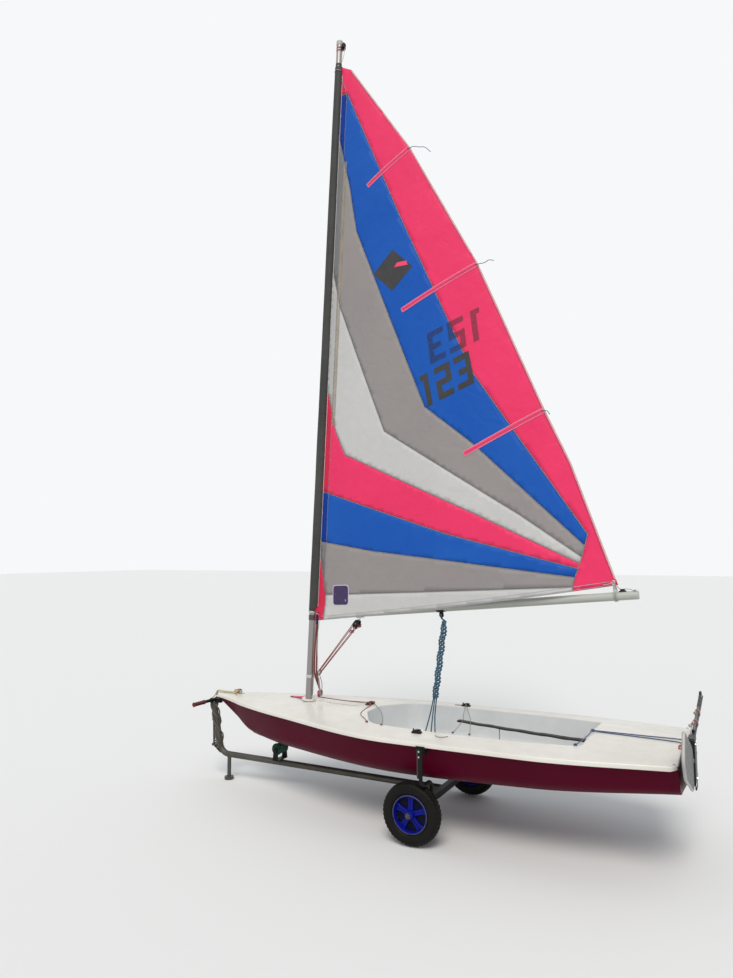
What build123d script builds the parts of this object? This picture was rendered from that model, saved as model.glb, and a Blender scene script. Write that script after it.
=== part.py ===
"""A small single-handed sailing dinghy standing on its two-wheeled launching trolley.

Millimetres. X points to the bow, Y to port and Z up. The origin is on the floor, at the middle of
the foot under the trolley's front leg. Places along the boat are given as s, the distance aft of
the stem, and the stem is as far ahead of the origin as the leg stands aft of it.
"""
from build123d import *
import os
from math import atan2, cos, radians, sin, tan

# Hull and deck mouldings
loa = 3650.0
skin = 5.0
lip_depth = 30.0
lip_thick = 12.0
lip_round = 7.0
hull_gap = 3.0
hull_drop = 5.0
crown_ratio = 0.060
transom_thick = 8.0
drawn_loa = 3650.0


def along(s):
    """A place along the hull in its tables, moved with the stern when the hull is made longer or shorter."""
    return s * loa / drawn_loa


# Columns: s aft of the stem, half beam at the gunwale, gunwale height, keel height,
# half width and height of the bilge corner, radius of the bilge
STATIONS = [
    (0, 34, 700, 652, 14, 664, 6),
    (200, 122, 698, 512, 52, 566, 30),
    (420, 236, 694, 386, 128, 462, 70),
    (900, 405, 686, 340, 302, 424, 130),
    (1900, 634, 671, 328, 480, 402, 170),
    (2800, 628, 674, 362, 476, 430, 160),
    (drawn_loa, 508, 686, 444, 396, 496, 120),
]
STATIONS = [(along(row[0]),) + row[1:] for row in STATIONS]
RIBS = [0, 70, 150, 250, 380, 560, 800, 1150, 1550, 2000, 2450, 2900, 3300, drawn_loa]
RIBS = [along(s) for s in RIBS]

# Cockpit tub. Columns: s, half width, corner radius
TUB = [
    (1490, 110, 120),
    (1650, 385, 180),
    (2150, 412, 500),
    (2750, 402, 500),
    (3090, 352, 50),
]
tub_floor = 470.0
tub_draft = 34.0
tub_top = 800.0
tub_level = 690.0
lining_top = 650.0

# Daggerboard slot and case
slot_s = (1075.0, 1355.0)
slot_wide = 30.0
slot_wall = 5.0

# Mast and its step
mast_s = 906.0
mast_datum = 703.0
mast_rake = 2.9
mast_heel = 380.0
mast_joint = 3420.0
mast_top = 6160.0
lower_r = 30.0
upper_r = 25.0
mast_wall = 2.0
mast_lap = 240.0
step_r = 37.0
step_clear = 0.5
step_floor = 8.0
collar_r = 56.0
collar_high = 12.0
pad_high = 14.0

# Luff sleeve
sleeve_z = (1415.0, mast_top - 215)
sleeve_r = (39.0, 33.0)
sleeve_bore = (33.5, 28.8)

# Boom
boom_s = (1018.0, 3400.0)
boom_z = (1380.0, 1602.0)
boom_r = 28.0
boom_wall = 2.0
tongue_half = 7.0
ear_thick = 8.0
neck_pin_r = 4.0

# Sail. Columns: luff height, leech s, leech height, camber to port
LEVELS = [
    (1330, 3318, 1570, 95),
    (2250, 3005, 2485, 90),
    (2650, 2835, 2870, 84),
    (3850, 2366, 4014, 62),
    (4970, 1824, 5066, 34),
    (5930, 1300, 5885, 4),
]
cloth = 3.0
luff_tuck = 22.0
foot_drop = (1408.0, 1489.0, 1664.0)
clew_s = 3290.0
drawn_top = 6160.0
drawn_low = 1700.0

# Seams from the luff to the leech or clew, each a list of (s, z)
past_luff = 850.0
past_leech = 3700.0
head_z = 6100.0
sail_reach = 300.0
SEAMS = [
    ("pink", [(past_luff, head_z), (past_leech, head_z), (past_leech, 1450)]),
    ("blue", [(past_luff, 5850), (1196, 5850), (1747, 4510), (2331, 3180), (3103, 1998)]),
    ("grey", [(past_luff, 5690), (1180, 5690), (1290, 4864), (1359, 4464), (1960, 2960),
              (2337, 2650), (3083, 1920)]),
    ("white", [(past_luff, 4300), (1095, 4300), (1201, 3862), (1622, 2805), (2659, 2136), (3064, 1846)]),
    ("pink", [(past_luff, 3330), (1045, 3330), (1160, 2850), (1254, 2653), (2357, 2144), (3049, 1804)]),
    ("blue", [(past_luff, 2385), (992, 2385), (2124, 2012), (3038, 1768)]),
    ("grey", [(past_luff, 1972), (993, 1972), (1504, 1891), (2121, 1820), (3016, 1710)]),
    ("white", [(past_luff, 1548), (1065, 1548), (2118, 1602), (3000, 1646)]),
    ("end", [(past_luff, 1300), (2985, 1300)]),
]
tack_strip = [(past_luff, 1972), (993, 1972), (1065, 1548), (1058, 1300), (past_luff, 1300)]

# Batten pockets. Columns: leech end s, z, inner end s, z
POCKETS = [(1824, 5066, 1464, 4820), (2366, 4014, 1774, 3732), (2835, 2870, 2264, 2586)]
pocket_wide = 34.0
pocket_proud = 2.0
leech_hem = 12.0

# Deck and cockpit fittings
bow_s = 226.0
bow_plate = (60.0, 44.0, 6.0)
bow_ear = (40.0, 8.0, 34.0)
bow_eye_r = 8.0
cleat_size = (60.0, 34.0, 14.0)
jaw_size = (30.0, 10.0, 10.0)
jaw_gap = 9.0
CLEATS = [(2050, 472), (2050, -472)]
lead_size = (52.0, 26.0, 12.0)
LEADS = [(1402, -75), (1402, -115)]
fitting_root = 12.0
sheet_s = 1975.0
sheet_foot = (34.0, 10.0)
sheet_neck_r = 9.0
sheet_drum = (30.0, 24.0, 62.0)
strap_front = (2155.0, 684.0)
strap_back_z = 645.0
strap_wide = 50.0
strap_thick = 14.0
strap_plate = (14.0, 70.0, 46.0)
stern_block = (loa - 10.0, 200.0)
stern_block_size = (24.0, 16.0, 36.0)
gudgeon_plate = (5.0, 64.0, 34.0)
gudgeon_tongue = (22.0, 8.0)
eye_r = 11.0

# Kicker and mainsheet fittings
tang_z = 905.0
tang_size = (34.0, 6.0, 22.0)
kicker_s = 1369.0
kicker_key = (64.0, 16.0, 12.0)
boom_block_s = 2040.0
boom_block = (27.0, 20.0, 40.0)
saddle = (60.0, 26.0, 5.0)

# Rudder
pintle_off = 45.0
pintle_z = (512.0, 640.0)
pintle_r = 4.0
pintle_clear = 0.3
pintle_drop = 38.0
rudder_turn = 90.0
cheek_r = (16.0, 150.0)
cheek_z = (458.0, 712.0)
cheek_thick = 8.0
blade_thick = 20.0
blade_clear = 1.5
pivot_r = 75.0
pivot_z = 520.0
pivot_bolt = 6.0
blade_head = 48.0
# The blade's outline when it is down. Columns: distance aft of the pintles, height, corner radius
BLADE = [
    (-15, 430, 30),
    (-12, -30, 80),
    (62, -172, 60),
    (234, -136, 14),
    (228, 318, 70),
    (128, 490, 0),
    (30, 490, 0),
]
blade_kick = 112.0
tiller_z = 738.0
tiller_long = 900.0
tiller_rise = 6.0
tiller_r = 14.0

# Launching trolley
axle_s = 2050.0
wheel_r = 200.0
wheel_wide = 100.0
track = 1120.0
rim_r = 124.0
hub_r = 30.0
hub_long = 116.0
spoke_count = 5
stub_r = 10.0
stub_clear = 0.3
axle_side = 42.0
tube_r = 24.0
tube_wall = 3.0
post_foot_s = 40.0
post_top = (-53.0, 620.0)
post_bend = 90.0
handle_half = 250.0
handle_r = 13.0
grip_r = 17.0
grip_long = 120.0
leg_s = 120.0
leg_r = 16.0
foot_r = 38.0
foot_high = 22.0
roller_s = 633.0
roller_r = 46.0
roller_half = 60.0
roller_clear = 0.3
prop_s = 2145.0
prop_r = 13.0
PROP = [(455, 205), (455, 392), (630, 392), (630, 600)]
prop_bend = 60.0
post_plate = (50.0, 8.0)
post_plate_z = (452.0, 636.0)
pad_size = (60.0, 50.0, 48.0)
barrel_wide = 72.0
flange_wide = 76.0
spoke_wide = 34.0
spoke_thick = 40.0


def at(s, y, z):
    """A point from its distance aft of the stem, its side and its height."""
    return Vector(leg_s - s, y, z)


def inset(points, wall):
    """A closed anticlockwise outline with every side moved inward by one wall."""
    moved = []
    count = len(points)
    for i in range(count):
        before, here, after = points[i - 1], points[i], points[(i + 1) % count]
        a = (here[0] - before[0], here[1] - before[1])
        b = (after[0] - here[0], after[1] - here[1])
        la = (a[0] ** 2 + a[1] ** 2) ** 0.5
        lb = (b[0] ** 2 + b[1] ** 2) ** 0.5
        na = (-a[1] / la, a[0] / la)
        nb = (-b[1] / lb, b[0] / lb)
        share = wall / (1 + na[0] * nb[0] + na[1] * nb[1])
        moved.append((here[0] + share * (na[0] + nb[0]), here[1] + share * (na[1] + nb[1])))
    return moved


def outline(points, radii, place):
    """A closed wire through 2-D points, rounded where a radius is given; place maps them to 3-D."""
    ends = []
    count = len(points)
    for i in range(count):
        before, here, after = points[i - 1], points[i], points[(i + 1) % count]
        radius = radii[i]
        if radius <= 0:
            ends.append((here, None, here))
            continue
        a = Vector(before[0] - here[0], before[1] - here[1]).normalized()
        b = Vector(after[0] - here[0], after[1] - here[1]).normalized()
        half = radians(a.get_angle(b)) / 2
        reach = radius / tan(half)
        corner = Vector(here[0], here[1])
        middle = (a + b).normalized()
        first = corner + a * reach
        last = corner + b * reach
        top = corner + middle * (radius / sin(half) - radius)
        ends.append(((first.X, first.Y), (top.X, top.Y), (last.X, last.Y)))
    edges = []
    for i in range(count):
        first, top, last = ends[i]
        if top is not None:
            edges.append(Edge.make_three_point_arc(place(*first), place(*top), place(*last)))
        edges.append(Edge.make_line(place(*last), place(*ends[(i + 1) % count][0])))
    return Wire(edges)


def station(s):
    """The place function of one cross section."""
    return lambda y, z: at(s, y, z)


def level(z):
    """The place function of one flat outline at a height, its points as (s, y)."""
    return lambda s, y: at(s, y, z)


def rise(z):
    """A height in the sail's tables, moved with the mast's top when the mast is made longer or shorter."""
    if z <= drawn_low:
        return z
    return drawn_low + (z - drawn_low) * (mast_top - drawn_low) / (drawn_top - drawn_low)


def slab(points, y_from, y_to, radii=None):
    """A plate in the centre plane's direction, from an outline of (s, z) points."""
    wire = outline(points, radii or [0] * len(points), lambda s, z: at(s, y_from, z))
    return Solid.extrude(Face(wire), Vector(0, y_to - y_from, 0))


def rod(a, b, radius):
    way = Vector(b) - Vector(a)
    return Solid.make_cylinder(radius, way.length, Plane(origin=a, z_dir=way))


def tube(a, b, radius, wall):
    return rod(a, b, radius) - rod(a, b, radius - wall)


def block(centre, size):
    """A box about a point given by its distance aft, its side and its height."""
    return Pos(*at(*centre)) * Box(*size)


def bent_rod(points, radius, bend):
    path = FilletPolyline(*points, radius=bend)
    start = Plane(origin=path @ 0, z_dir=path % 0)
    return sweep(start * Circle(radius), path=path)


def slope(column, i):
    """The fair curve's slope at one station, flat where the numbers turn back."""
    if i == 0 or i == len(STATIONS) - 1:
        a, b = (0, 1) if i == 0 else (i - 1, i)
        return (STATIONS[b][column] - STATIONS[a][column]) / (STATIONS[b][0] - STATIONS[a][0])
    run_a = STATIONS[i][0] - STATIONS[i - 1][0]
    run_b = STATIONS[i + 1][0] - STATIONS[i][0]
    rise_a = (STATIONS[i][column] - STATIONS[i - 1][column]) / run_a
    rise_b = (STATIONS[i + 1][column] - STATIONS[i][column]) / run_b
    if rise_a * rise_b <= 0:
        return 0.0
    return 3 * (run_a + run_b) / ((2 * run_b + run_a) / rise_a + (run_b + 2 * run_a) / rise_b)


def fair(column, s):
    """A column of the stations' table at any distance aft, on a fair curve."""
    i = 0
    while i < len(STATIONS) - 2 and s > STATIONS[i + 1][0]:
        i += 1
    run = STATIONS[i + 1][0] - STATIONS[i][0]
    t = (s - STATIONS[i][0]) / run
    a, b = STATIONS[i][column], STATIONS[i + 1][column]
    da, db = slope(column, i) * run, slope(column, i + 1) * run
    return (a * (1 + 2 * t) * (1 - t) ** 2 + da * t * (1 - t) ** 2
            + b * t * t * (3 - 2 * t) + db * t * t * (t - 1))


def rib(s):
    return [s] + [fair(column, s) for column in range(1, 7)]


def keel_at(s):
    """Height of the ribbed hull's keel, for pieces that sit under it."""
    for a, b in zip(RIBS, RIBS[1:]):
        if a <= s <= b:
            return fair(3, a) + (fair(3, b) - fair(3, a)) * (s - a) / (b - a)
    return fair(3, RIBS[-1])


def through_ribs(section, wall):
    return Solid.make_loft([section(rib(s), wall) for s in RIBS], ruled=True)


def hull_section(row, wall):
    s, half, sheer, keel, bilge, bilge_z, radius = row
    half = half - lip_thick - hull_gap
    top = sheer - hull_drop
    rise = 0.0
    if wall > 0:
        rise = 30.0
    flare = (half - bilge) / (top - bilge_z)
    edge = half + flare * rise
    points = [(0, keel), (bilge, bilge_z), (edge, top + rise), (-edge, top + rise), (-bilge, bilge_z)]
    if wall > 0:
        points = inset(points, wall)
        radius = max(radius - wall, 2.0)
    return outline(points, [0, radius, 0, 0, radius], station(s))


def hull():
    outer = through_ribs(hull_section, 0)
    inner = through_ribs(hull_section, skin)
    stern = block((loa - transom_thick / 2, 0, 600), (transom_thick, 1400, 800))
    return outer, (outer - inner) + (outer & stern)


def deck_section(row, wall):
    s, half, sheer = row[0], row[1], row[2]
    crown = crown_ratio * half
    side = half - (lip_thick if wall > 0 else 0)
    top = sheer - wall
    low = sheer - lip_depth - (1.0 if wall > 0 else 0)
    turn = lip_round if wall == 0 else 1.5
    shoulder = side - turn
    arc = cos(radians(45))
    place = station(s)
    edges = [
        Edge.make_line(place(-side, low), place(side, low)),
        Edge.make_line(place(side, low), place(side, top - turn)),
        Edge.make_three_point_arc(place(side, top - turn),
                                  place(shoulder + turn * arc, top - turn + turn * arc),
                                  place(shoulder, top)),
        Edge.make_three_point_arc(place(shoulder, top), place(0, top + crown), place(-shoulder, top)),
        Edge.make_three_point_arc(place(-shoulder, top),
                                  place(-shoulder - turn * arc, top - turn + turn * arc),
                                  place(-side, top - turn)),
        Edge.make_line(place(-side, top - turn), place(-side, low)),
    ]
    return Wire(edges)


def tub_outline(z, wall):
    """The tub's plan at one height; wall is positive outward."""
    depth = (tub_level - z) / (tub_level - tub_floor)
    starboard = [(s, -half) for s, half, r in TUB]
    port = [(s, half) for s, half, r in reversed(TUB)]
    radii = [r for s, half, r in TUB]
    points = inset(starboard + port, tub_draft * depth - wall)
    return outline(points, radii + radii[::-1], level(z))


def tub(wall, bottom, top):
    return Solid.make_loft([tub_outline(bottom, wall), tub_outline(top, wall)], ruled=True)


def mast_at(height, aft=0.0, side=0.0):
    """A point at a height on the raked mast's line, moved square to it."""
    s = mast_s + (height - mast_datum) * tan(radians(mast_rake))
    return at(s + aft * cos(radians(mast_rake)), side, height - aft * sin(radians(mast_rake)))


mast_way = Vector(-sin(radians(mast_rake)), 0, cos(radians(mast_rake)))
mast_side = Vector(cos(radians(mast_rake)), 0, sin(radians(mast_rake)))


def spar(low, high, radius):
    return rod(mast_at(low), mast_at(high), radius)


def deck(outer_deck):
    inner = through_ribs(deck_section, skin)
    well = tub(0, tub_floor, tub_top)
    lining = tub(skin, tub_floor - skin, tub_top)
    below = block((loa / 2, 0, 0), (2 * loa, 2 * loa, 2 * lining_top))
    shell = outer_deck - (inner - lining)
    shell = shell + (lining & below)
    stern_top = STATIONS[-1][2]
    stern = block((loa - transom_thick / 2, 0, stern_top - hull_drop + 50), (transom_thick, loa, 100))
    shell = shell + (outer_deck & stern)
    mast_pad = spar(mast_datum - 25, mast_datum + pad_high, collar_r + 6)
    bore = spar(mast_heel - 60, mast_datum + 60, step_r)
    slot = slot_block(slot_wide + 2 * slot_wall, slot_s[0] - slot_wall, slot_s[1] + slot_wall, 300, 900)
    return (shell + mast_pad) - well - bore - slot


def slot_block(wide, s_from, s_to, z_from, z_to):
    ends = wide / 2
    core = block(((s_from + s_to) / 2, 0, (z_from + z_to) / 2),
                 (s_to - s_from - wide, wide, z_to - z_from))
    fore = rod(at(s_from + ends, 0, z_from), at(s_from + ends, 0, z_to), ends)
    back = rod(at(s_to - ends, 0, z_from), at(s_to - ends, 0, z_to), ends)
    return core + fore + back


def daggerboard_case(outer_hull, outer_deck):
    walls = slot_block(slot_wide + 2 * slot_wall, slot_s[0] - slot_wall, slot_s[1] + slot_wall, 300, 740)
    hole = slot_block(slot_wide, slot_s[0], slot_s[1], 200, 900)
    return (walls - hole) & (outer_hull + outer_deck)


def mast_step():
    cup = spar(mast_heel - step_floor, mast_datum + pad_high, step_r)
    flange = spar(mast_datum + pad_high, mast_datum + pad_high + collar_high, collar_r)
    return (cup + flange) - spar(mast_heel, mast_datum + 80, lower_r + step_clear)


def mast_pieces():
    lower = spar(mast_heel, mast_joint, lower_r) - spar(mast_heel - 1, mast_joint + 1, lower_r - mast_wall)
    spigot = spar(mast_joint - mast_lap, mast_joint, lower_r - mast_wall)
    collar = spar(mast_joint, mast_joint + 20, lower_r)
    bore = spar(mast_joint - mast_lap - 1, mast_top + 1, upper_r - mast_wall)
    upper = (spigot + collar + spar(mast_joint, mast_top, upper_r)) - bore
    cap = spar(mast_top, mast_top + 22, upper_r + 3) + spar(mast_top - 60, mast_top, upper_r - mast_wall)
    cheek = Plane(origin=mast_at(mast_top - 62, aft=upper_r + 14), x_dir=(1, 0, 0), z_dir=mast_way)
    horn = cheek * Box(32, 26, 150)
    lug = cheek * Pos(0, 0, 60) * Box(44, 14, 40)
    head = (cap + horn + lug) - spar(mast_top - 200, mast_top, upper_r)
    head = head + cap
    return lower, upper, head


def cone(low, high, r_low, r_high):
    length = (mast_at(high) - mast_at(low)).length
    return Solid.make_cone(r_low, r_high, length, Plane(origin=mast_at(low), z_dir=mast_way))


def luff_sleeve():
    low, high = sleeve_z
    return cone(low, high, *sleeve_r) - cone(low - 1, high + 1, *sleeve_bore)


def sail_section(row, thick):
    """One thin arched strip from the luff to the leech."""
    luff_z, leech_s, leech_z, camber = row
    luff = mast_at(rise(luff_z), aft=luff_tuck)
    leech = at(leech_s, 0, rise(leech_z))
    middle = (luff + leech) * 0.5
    off = Vector(0, thick / 2, 0)
    bow = Vector(0, camber, 0)
    port = Edge.make_three_point_arc(luff + off, middle + bow + off, leech + off)
    aft = Edge.make_line(leech + off, leech - off)
    starboard = Edge.make_three_point_arc(leech - off, middle + bow - off, luff - off)
    front = Edge.make_line(luff - off, luff + off)
    return Wire([port, aft, starboard, front])


def sail(thick):
    whole = Solid.make_loft([sail_section(row, thick) for row in LEVELS], ruled=True)
    corners = [at(900, -300, 1200), at(3600, -300, 1200), at(3600, -300, foot_drop[2]),
               at(clew_s, -300, foot_drop[2]), at(900, -300, foot_drop[0])]
    foot = Wire([
        Edge.make_line(corners[0], corners[1]),
        Edge.make_line(corners[1], corners[2]),
        Edge.make_line(corners[2], corners[3]),
        Edge.make_three_point_arc(corners[3], at(2150, -300, foot_drop[1]), corners[4]),
        Edge.make_line(corners[4], corners[0]),
    ])
    under = Solid.extrude(Face(foot), Vector(0, 600, 0))
    around_mast = spar(sleeve_z[0] - 400, sleeve_z[1] + 200, sleeve_r[1])
    return whole - under - around_mast - cone(*sleeve_z, *sleeve_r)


def sail_panels(whole):
    """The sail cut along its seams, one node for each colour."""
    panels = {}
    for (colour, upper), (_, lower) in zip(SEAMS, SEAMS[1:]):
        points = lower + upper[::-1]
        if upper is SEAMS[0][1]:
            patch = [row[1][-1] for row in SEAMS[2:]]
            points = lower + patch + [(past_leech, SEAMS[-1][1][0][1])] + upper[1::-1]
        wedge = slab([(s, rise(z)) for s, z in points], -sail_reach, sail_reach)
        panels.setdefault(colour, []).append(whole & wedge)
    strip = slab([(s, rise(z)) for s, z in tack_strip], -sail_reach, sail_reach)
    for colour in ("grey", "white"):
        panels[colour] = [piece - strip for piece in panels[colour]]
    panels["pink"].append(whole & strip)
    return {colour: join(pieces) for colour, pieces in panels.items()}


def join(pieces):
    total = pieces[0]
    for piece in pieces[1:]:
        total = total + piece
    return total


def batten_pockets(whole):
    """Flat pockets sewn on both sides of the cloth, so each follows the sail's curve."""
    skins = sail(cloth + 2 * pocket_proud) - whole
    pieces = []
    for leech_s, leech_z, inner_s, inner_z in POCKETS:
        way = Vector(leech_s - inner_s, rise(leech_z) - rise(inner_z)).normalized()
        across = Vector(-way.Y, way.X) * (pocket_wide / 2)
        outer = Vector(leech_s, rise(leech_z)) - way * leech_hem
        inner = Vector(inner_s, rise(inner_z))
        corners = [inner - across, outer - across, outer + across, inner + across]
        pieces.append(skins & slab([(p.X, p.Y) for p in corners], -sail_reach, sail_reach))
    return Compound([solid for piece in pieces for solid in piece.solids()])


def boom_at(share, drop=0.0, side=0.0):
    s = boom_s[0] + (boom_s[1] - boom_s[0]) * share
    z = boom_z[0] + (boom_z[1] - boom_z[0]) * share
    tilt = atan2(boom_z[1] - boom_z[0], boom_s[1] - boom_s[0])
    return at(s + drop * sin(tilt), side, z - drop * cos(tilt))


def boom_share(s):
    return (s - boom_s[0]) / (boom_s[1] - boom_s[0])


def boom():
    return tube(boom_at(0), boom_at(1), boom_r, boom_wall)


def boom_ends():
    """The plug at each end of the boom, the front one with a tongue for the gooseneck's pin."""
    way = (boom_at(1) - boom_at(0)).normalized()
    bore_r = boom_r - boom_wall
    front = rod(boom_at(0) - way * 8, boom_at(0), boom_r) + rod(boom_at(0), boom_at(0) + way * 40, bore_r)
    tongue = Plane(origin=boom_at(0) - way * 17, x_dir=way, z_dir=(0, 0, 1)) * Box(34, 2 * tongue_half, 26)
    back = rod(boom_at(1), boom_at(1) + way * 10, boom_r) + rod(boom_at(1) - way * 40, boom_at(1), bore_r)
    front = (front + tongue) - neck_pin(tongue_half + 1, neck_pin_r + 0.1)
    return Compound([front.solid(), back.solid()])


def neck_pin(half_long, radius):
    """The pin across the boom's tongue."""
    way = (boom_at(1) - boom_at(0)).normalized()
    centre = boom_at(0) - way * 22
    return rod(centre - Vector(0, half_long, 0), centre + Vector(0, half_long, 0), radius)


def gooseneck():
    """A band round the mast with two ears and a pin that hold the boom's tongue."""
    pin_z = boom_z[0] - 2
    band = spar(pin_z - 32, pin_z + 8, lower_r + 4)
    for side in (-1, 1):
        ear_y = side * (tongue_half + 1 + ear_thick / 2)
        band = band + block((boom_s[0] - 38, ear_y, pin_z - 4), (56, ear_thick, 26))
    return (band - spar(pin_z - 60, pin_z + 60, lower_r)) + neck_pin(tongue_half + ear_thick + 3, neck_pin_r)


def mast_tang():
    """The band low on the mast with the tang that holds the kicker's lower block."""
    band = spar(tang_z - 12, tang_z + 12, lower_r + 3)
    tang = Plane(origin=mast_at(tang_z, aft=lower_r + tang_size[0] / 2), x_dir=mast_side, z_dir=mast_way) * Box(*tang_size)
    hole_at = dict(aft=lower_r + tang_size[0] - 10)
    hole = rod(mast_at(tang_z, side=-20, **hole_at), mast_at(tang_z, side=20, **hole_at), 4)
    return (band + tang) - hole - spar(tang_z - 30, tang_z + 30, lower_r)


def under_boom(s, size, drop):
    """A block hanging square under the boom, its top at a drop below the boom's middle line."""
    way = (boom_at(1) - boom_at(0)).normalized()
    centre = boom_at(boom_share(s), drop=drop + size[2] / 2)
    return Plane(origin=centre, x_dir=way, z_dir=way.cross(Vector(0, 1, 0))) * Box(*size)


def boom_fittings():
    """The kicker's key and the mainsheet's block, each on a saddle under the boom."""
    pieces = []
    tube_all = rod(boom_at(0), boom_at(1), boom_r)
    for s, size in ((kicker_s, kicker_key), (boom_block_s, (2 * boom_block[0], boom_block[1], boom_block[2]))):
        base = under_boom(s, saddle, boom_r - 4) + under_boom(s, size, boom_r - 2)
        pieces.append((base - tube_all).solid())
    return Compound(pieces)


def deck_top(s, y):
    """The cambered deck's height at a place on it."""
    half = fair(1, s)
    return fair(2, s) + crown_ratio * half * (1 - (y / half) ** 2)


def on_deck(s, y, size):
    """A block standing on the deck, let in by its root."""
    foot = deck_top(s, y) - fitting_root
    return block((s, y, foot + (size[2] + fitting_root) / 2), (size[0], size[1], size[2] + fitting_root))


def bow_fitting(outer_deck):
    """A plate on the foredeck with an upright eye for the painter."""
    long, wide, high = bow_plate
    top = deck_top(bow_s, 0) + high
    ear_top = top + bow_ear[2]
    half = bow_ear[0] / 2
    ear = slab([(bow_s - half, top - high), (bow_s + half, top - high), (bow_s + half, ear_top),
                (bow_s - half, ear_top)], -bow_ear[1] / 2, bow_ear[1] / 2, [0, 0, half * 0.7, half * 0.7])
    eye_z = ear_top - half * 0.75
    hole = rod(at(bow_s, -wide, eye_z), at(bow_s, wide, eye_z), bow_eye_r)
    return (on_deck(bow_s, 0, bow_plate) + ear) - hole - outer_deck


def jam_cleats(outer_deck):
    """A pair of jaws on a base, one set on each side deck beside the tub."""
    pieces = []
    for s, y in CLEATS:
        base = on_deck(s, y, cleat_size)
        jaw_z = deck_top(s, y) + cleat_size[2] + jaw_size[2] / 2
        for side in (-1, 1):
            base = base + block((s, y + side * jaw_gap, jaw_z), jaw_size)
        pieces.append((base - outer_deck).solid())
    return Compound(pieces)


def control_cleats(outer_deck):
    """Two small cleats for the mast's control lines, just ahead of the tub."""
    pieces = []
    for s, y in LEADS:
        jaw_z = deck_top(s, y) + lead_size[2] + jaw_size[2] / 2
        jaw = block((s, y, jaw_z), (jaw_size[0], jaw_size[1] * 2, jaw_size[2]))
        pieces.append(((on_deck(s, y, lead_size) + jaw) - outer_deck).solid())
    return Compound(pieces)


def sheet_base():
    """The mainsheet's block, upright on the tub's floor."""
    radius, thick = sheet_foot
    drum_r, drum_wide, drum_z = sheet_drum
    foot = rod(at(sheet_s, 0, tub_floor), at(sheet_s, 0, tub_floor + thick), radius)
    neck = rod(at(sheet_s, 0, tub_floor), at(sheet_s, 0, tub_floor + drum_z), sheet_neck_r)
    drum = rod(at(sheet_s, -drum_wide / 2, tub_floor + drum_z), at(sheet_s, drum_wide / 2, tub_floor + drum_z), drum_r)
    return foot + neck + drum


def toe_strap():
    """A padded webbing strap along the tub, screwed through a plate to the after wall."""
    front_s, front_z = strap_front
    back_s = TUB[-1][0] + strap_plate[0]
    half = strap_thick / 2
    strap = slab([(front_s, front_z - half), (back_s, strap_back_z - half), (back_s, strap_back_z + half),
                  (front_s, front_z + half)], -strap_wide / 2, strap_wide / 2, [half * 0.8, 0, 0, half * 0.8])
    plate = block((TUB[-1][0] - 5, 0, strap_back_z), strap_plate)
    return (strap + plate) & tub(0, tub_floor, tub_top)


def gudgeons():
    pieces = []
    thick, wide, high = gudgeon_plate
    half = gudgeon_tongue[1] / 2
    for z in pintle_z:
        plate = block((loa + thick / 2, 0, z), gudgeon_plate)
        tongue = block((loa + pintle_off / 2, 0, z), (pintle_off, gudgeon_tongue[0], gudgeon_tongue[1]))
        eye = rod(at(loa + pintle_off, 0, z - half), at(loa + pintle_off, 0, z + half), eye_r)
        hole = rod(at(loa + pintle_off, 0, z - eye_r), at(loa + pintle_off, 0, z + eye_r), pintle_r + pintle_clear)
        pieces.append(((plate + tongue + eye) - hole).solid())
    return Compound(pieces)


def stern_fitting(outer_deck):
    """The small block that the after deck's line runs to, at the stern edge."""
    s, y = stern_block
    long, wide, high = stern_block_size
    foot = deck_top(loa, y) - lip_round - 6
    half = long / 2
    body = slab([(s - half, foot), (s + half, foot), (s + half, foot + high), (s - half, foot + high)],
                y - wide / 2, y + wide / 2, [0, 0, half * 0.9, half * 0.9])
    return body - outer_deck


def from_pintle(r, y, z):
    return at(loa + pintle_off + r, y, z)


def rudder_head():
    inner = blade_thick / 2 + blade_clear
    outer = inner + cheek_thick
    shape = [(loa + pintle_off + cheek_r[0], cheek_z[0]), (loa + pintle_off + 120, cheek_z[0]),
             (loa + pintle_off + cheek_r[1], cheek_z[0] + 60), (loa + pintle_off + cheek_r[1], cheek_z[1]),
             (loa + pintle_off + cheek_r[0], cheek_z[1])]
    cheeks = [slab(shape, inner, outer, [8, 20, 30, 0, 0]), slab(shape, -outer, -inner, [8, 20, 30, 0, 0])]
    crown = slab([(loa + pintle_off + cheek_r[0], cheek_z[1] - 30),
                  (loa + pintle_off + cheek_r[1], cheek_z[1] - 30),
                  (loa + pintle_off + cheek_r[1], tiller_z + 26),
                  (loa + pintle_off + cheek_r[0], tiller_z + 26)], -outer, outer, [0, 0, 14, 14])
    bolt = rod(from_pintle(pivot_r, -outer - 5, pivot_z), from_pintle(pivot_r, outer + 5, pivot_z), pivot_bolt)
    return (cheeks[0] + cheeks[1] + crown + bolt) - rod(tiller_line(120), tiller_line(-100), tiller_r)


def tiller_line(r):
    return from_pintle(r, 0, tiller_z - r * tan(radians(tiller_rise)))


def tiller():
    return tube(tiller_line(120), tiller_line(-tiller_long), tiller_r, 2)


def pintles():
    pieces = []
    for z in pintle_z:
        top = z + 4 + 0.4
        pin = rod(from_pintle(0, 0, top - pintle_drop + 8), from_pintle(0, 0, top + 6), pintle_r)
        boss = rod(from_pintle(0, 0, top), from_pintle(0, 0, top + 16), eye_r)
        outer = blade_thick / 2 + blade_clear + cheek_thick
        web = block((loa + pintle_off + cheek_r[0] / 2, 0, top + 8), (cheek_r[0], 2 * outer + 6, 16))
        straps = []
        for side in (-1, 1):
            centre = (loa + pintle_off + (cheek_r[0] + 60) / 2, side * (outer + 1.5), top + 8)
            straps.append(block(centre, (60 - cheek_r[0], 3, 16)))
        pieces.append(boss + web + pin + straps[0] + straps[1])
    return pieces


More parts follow.
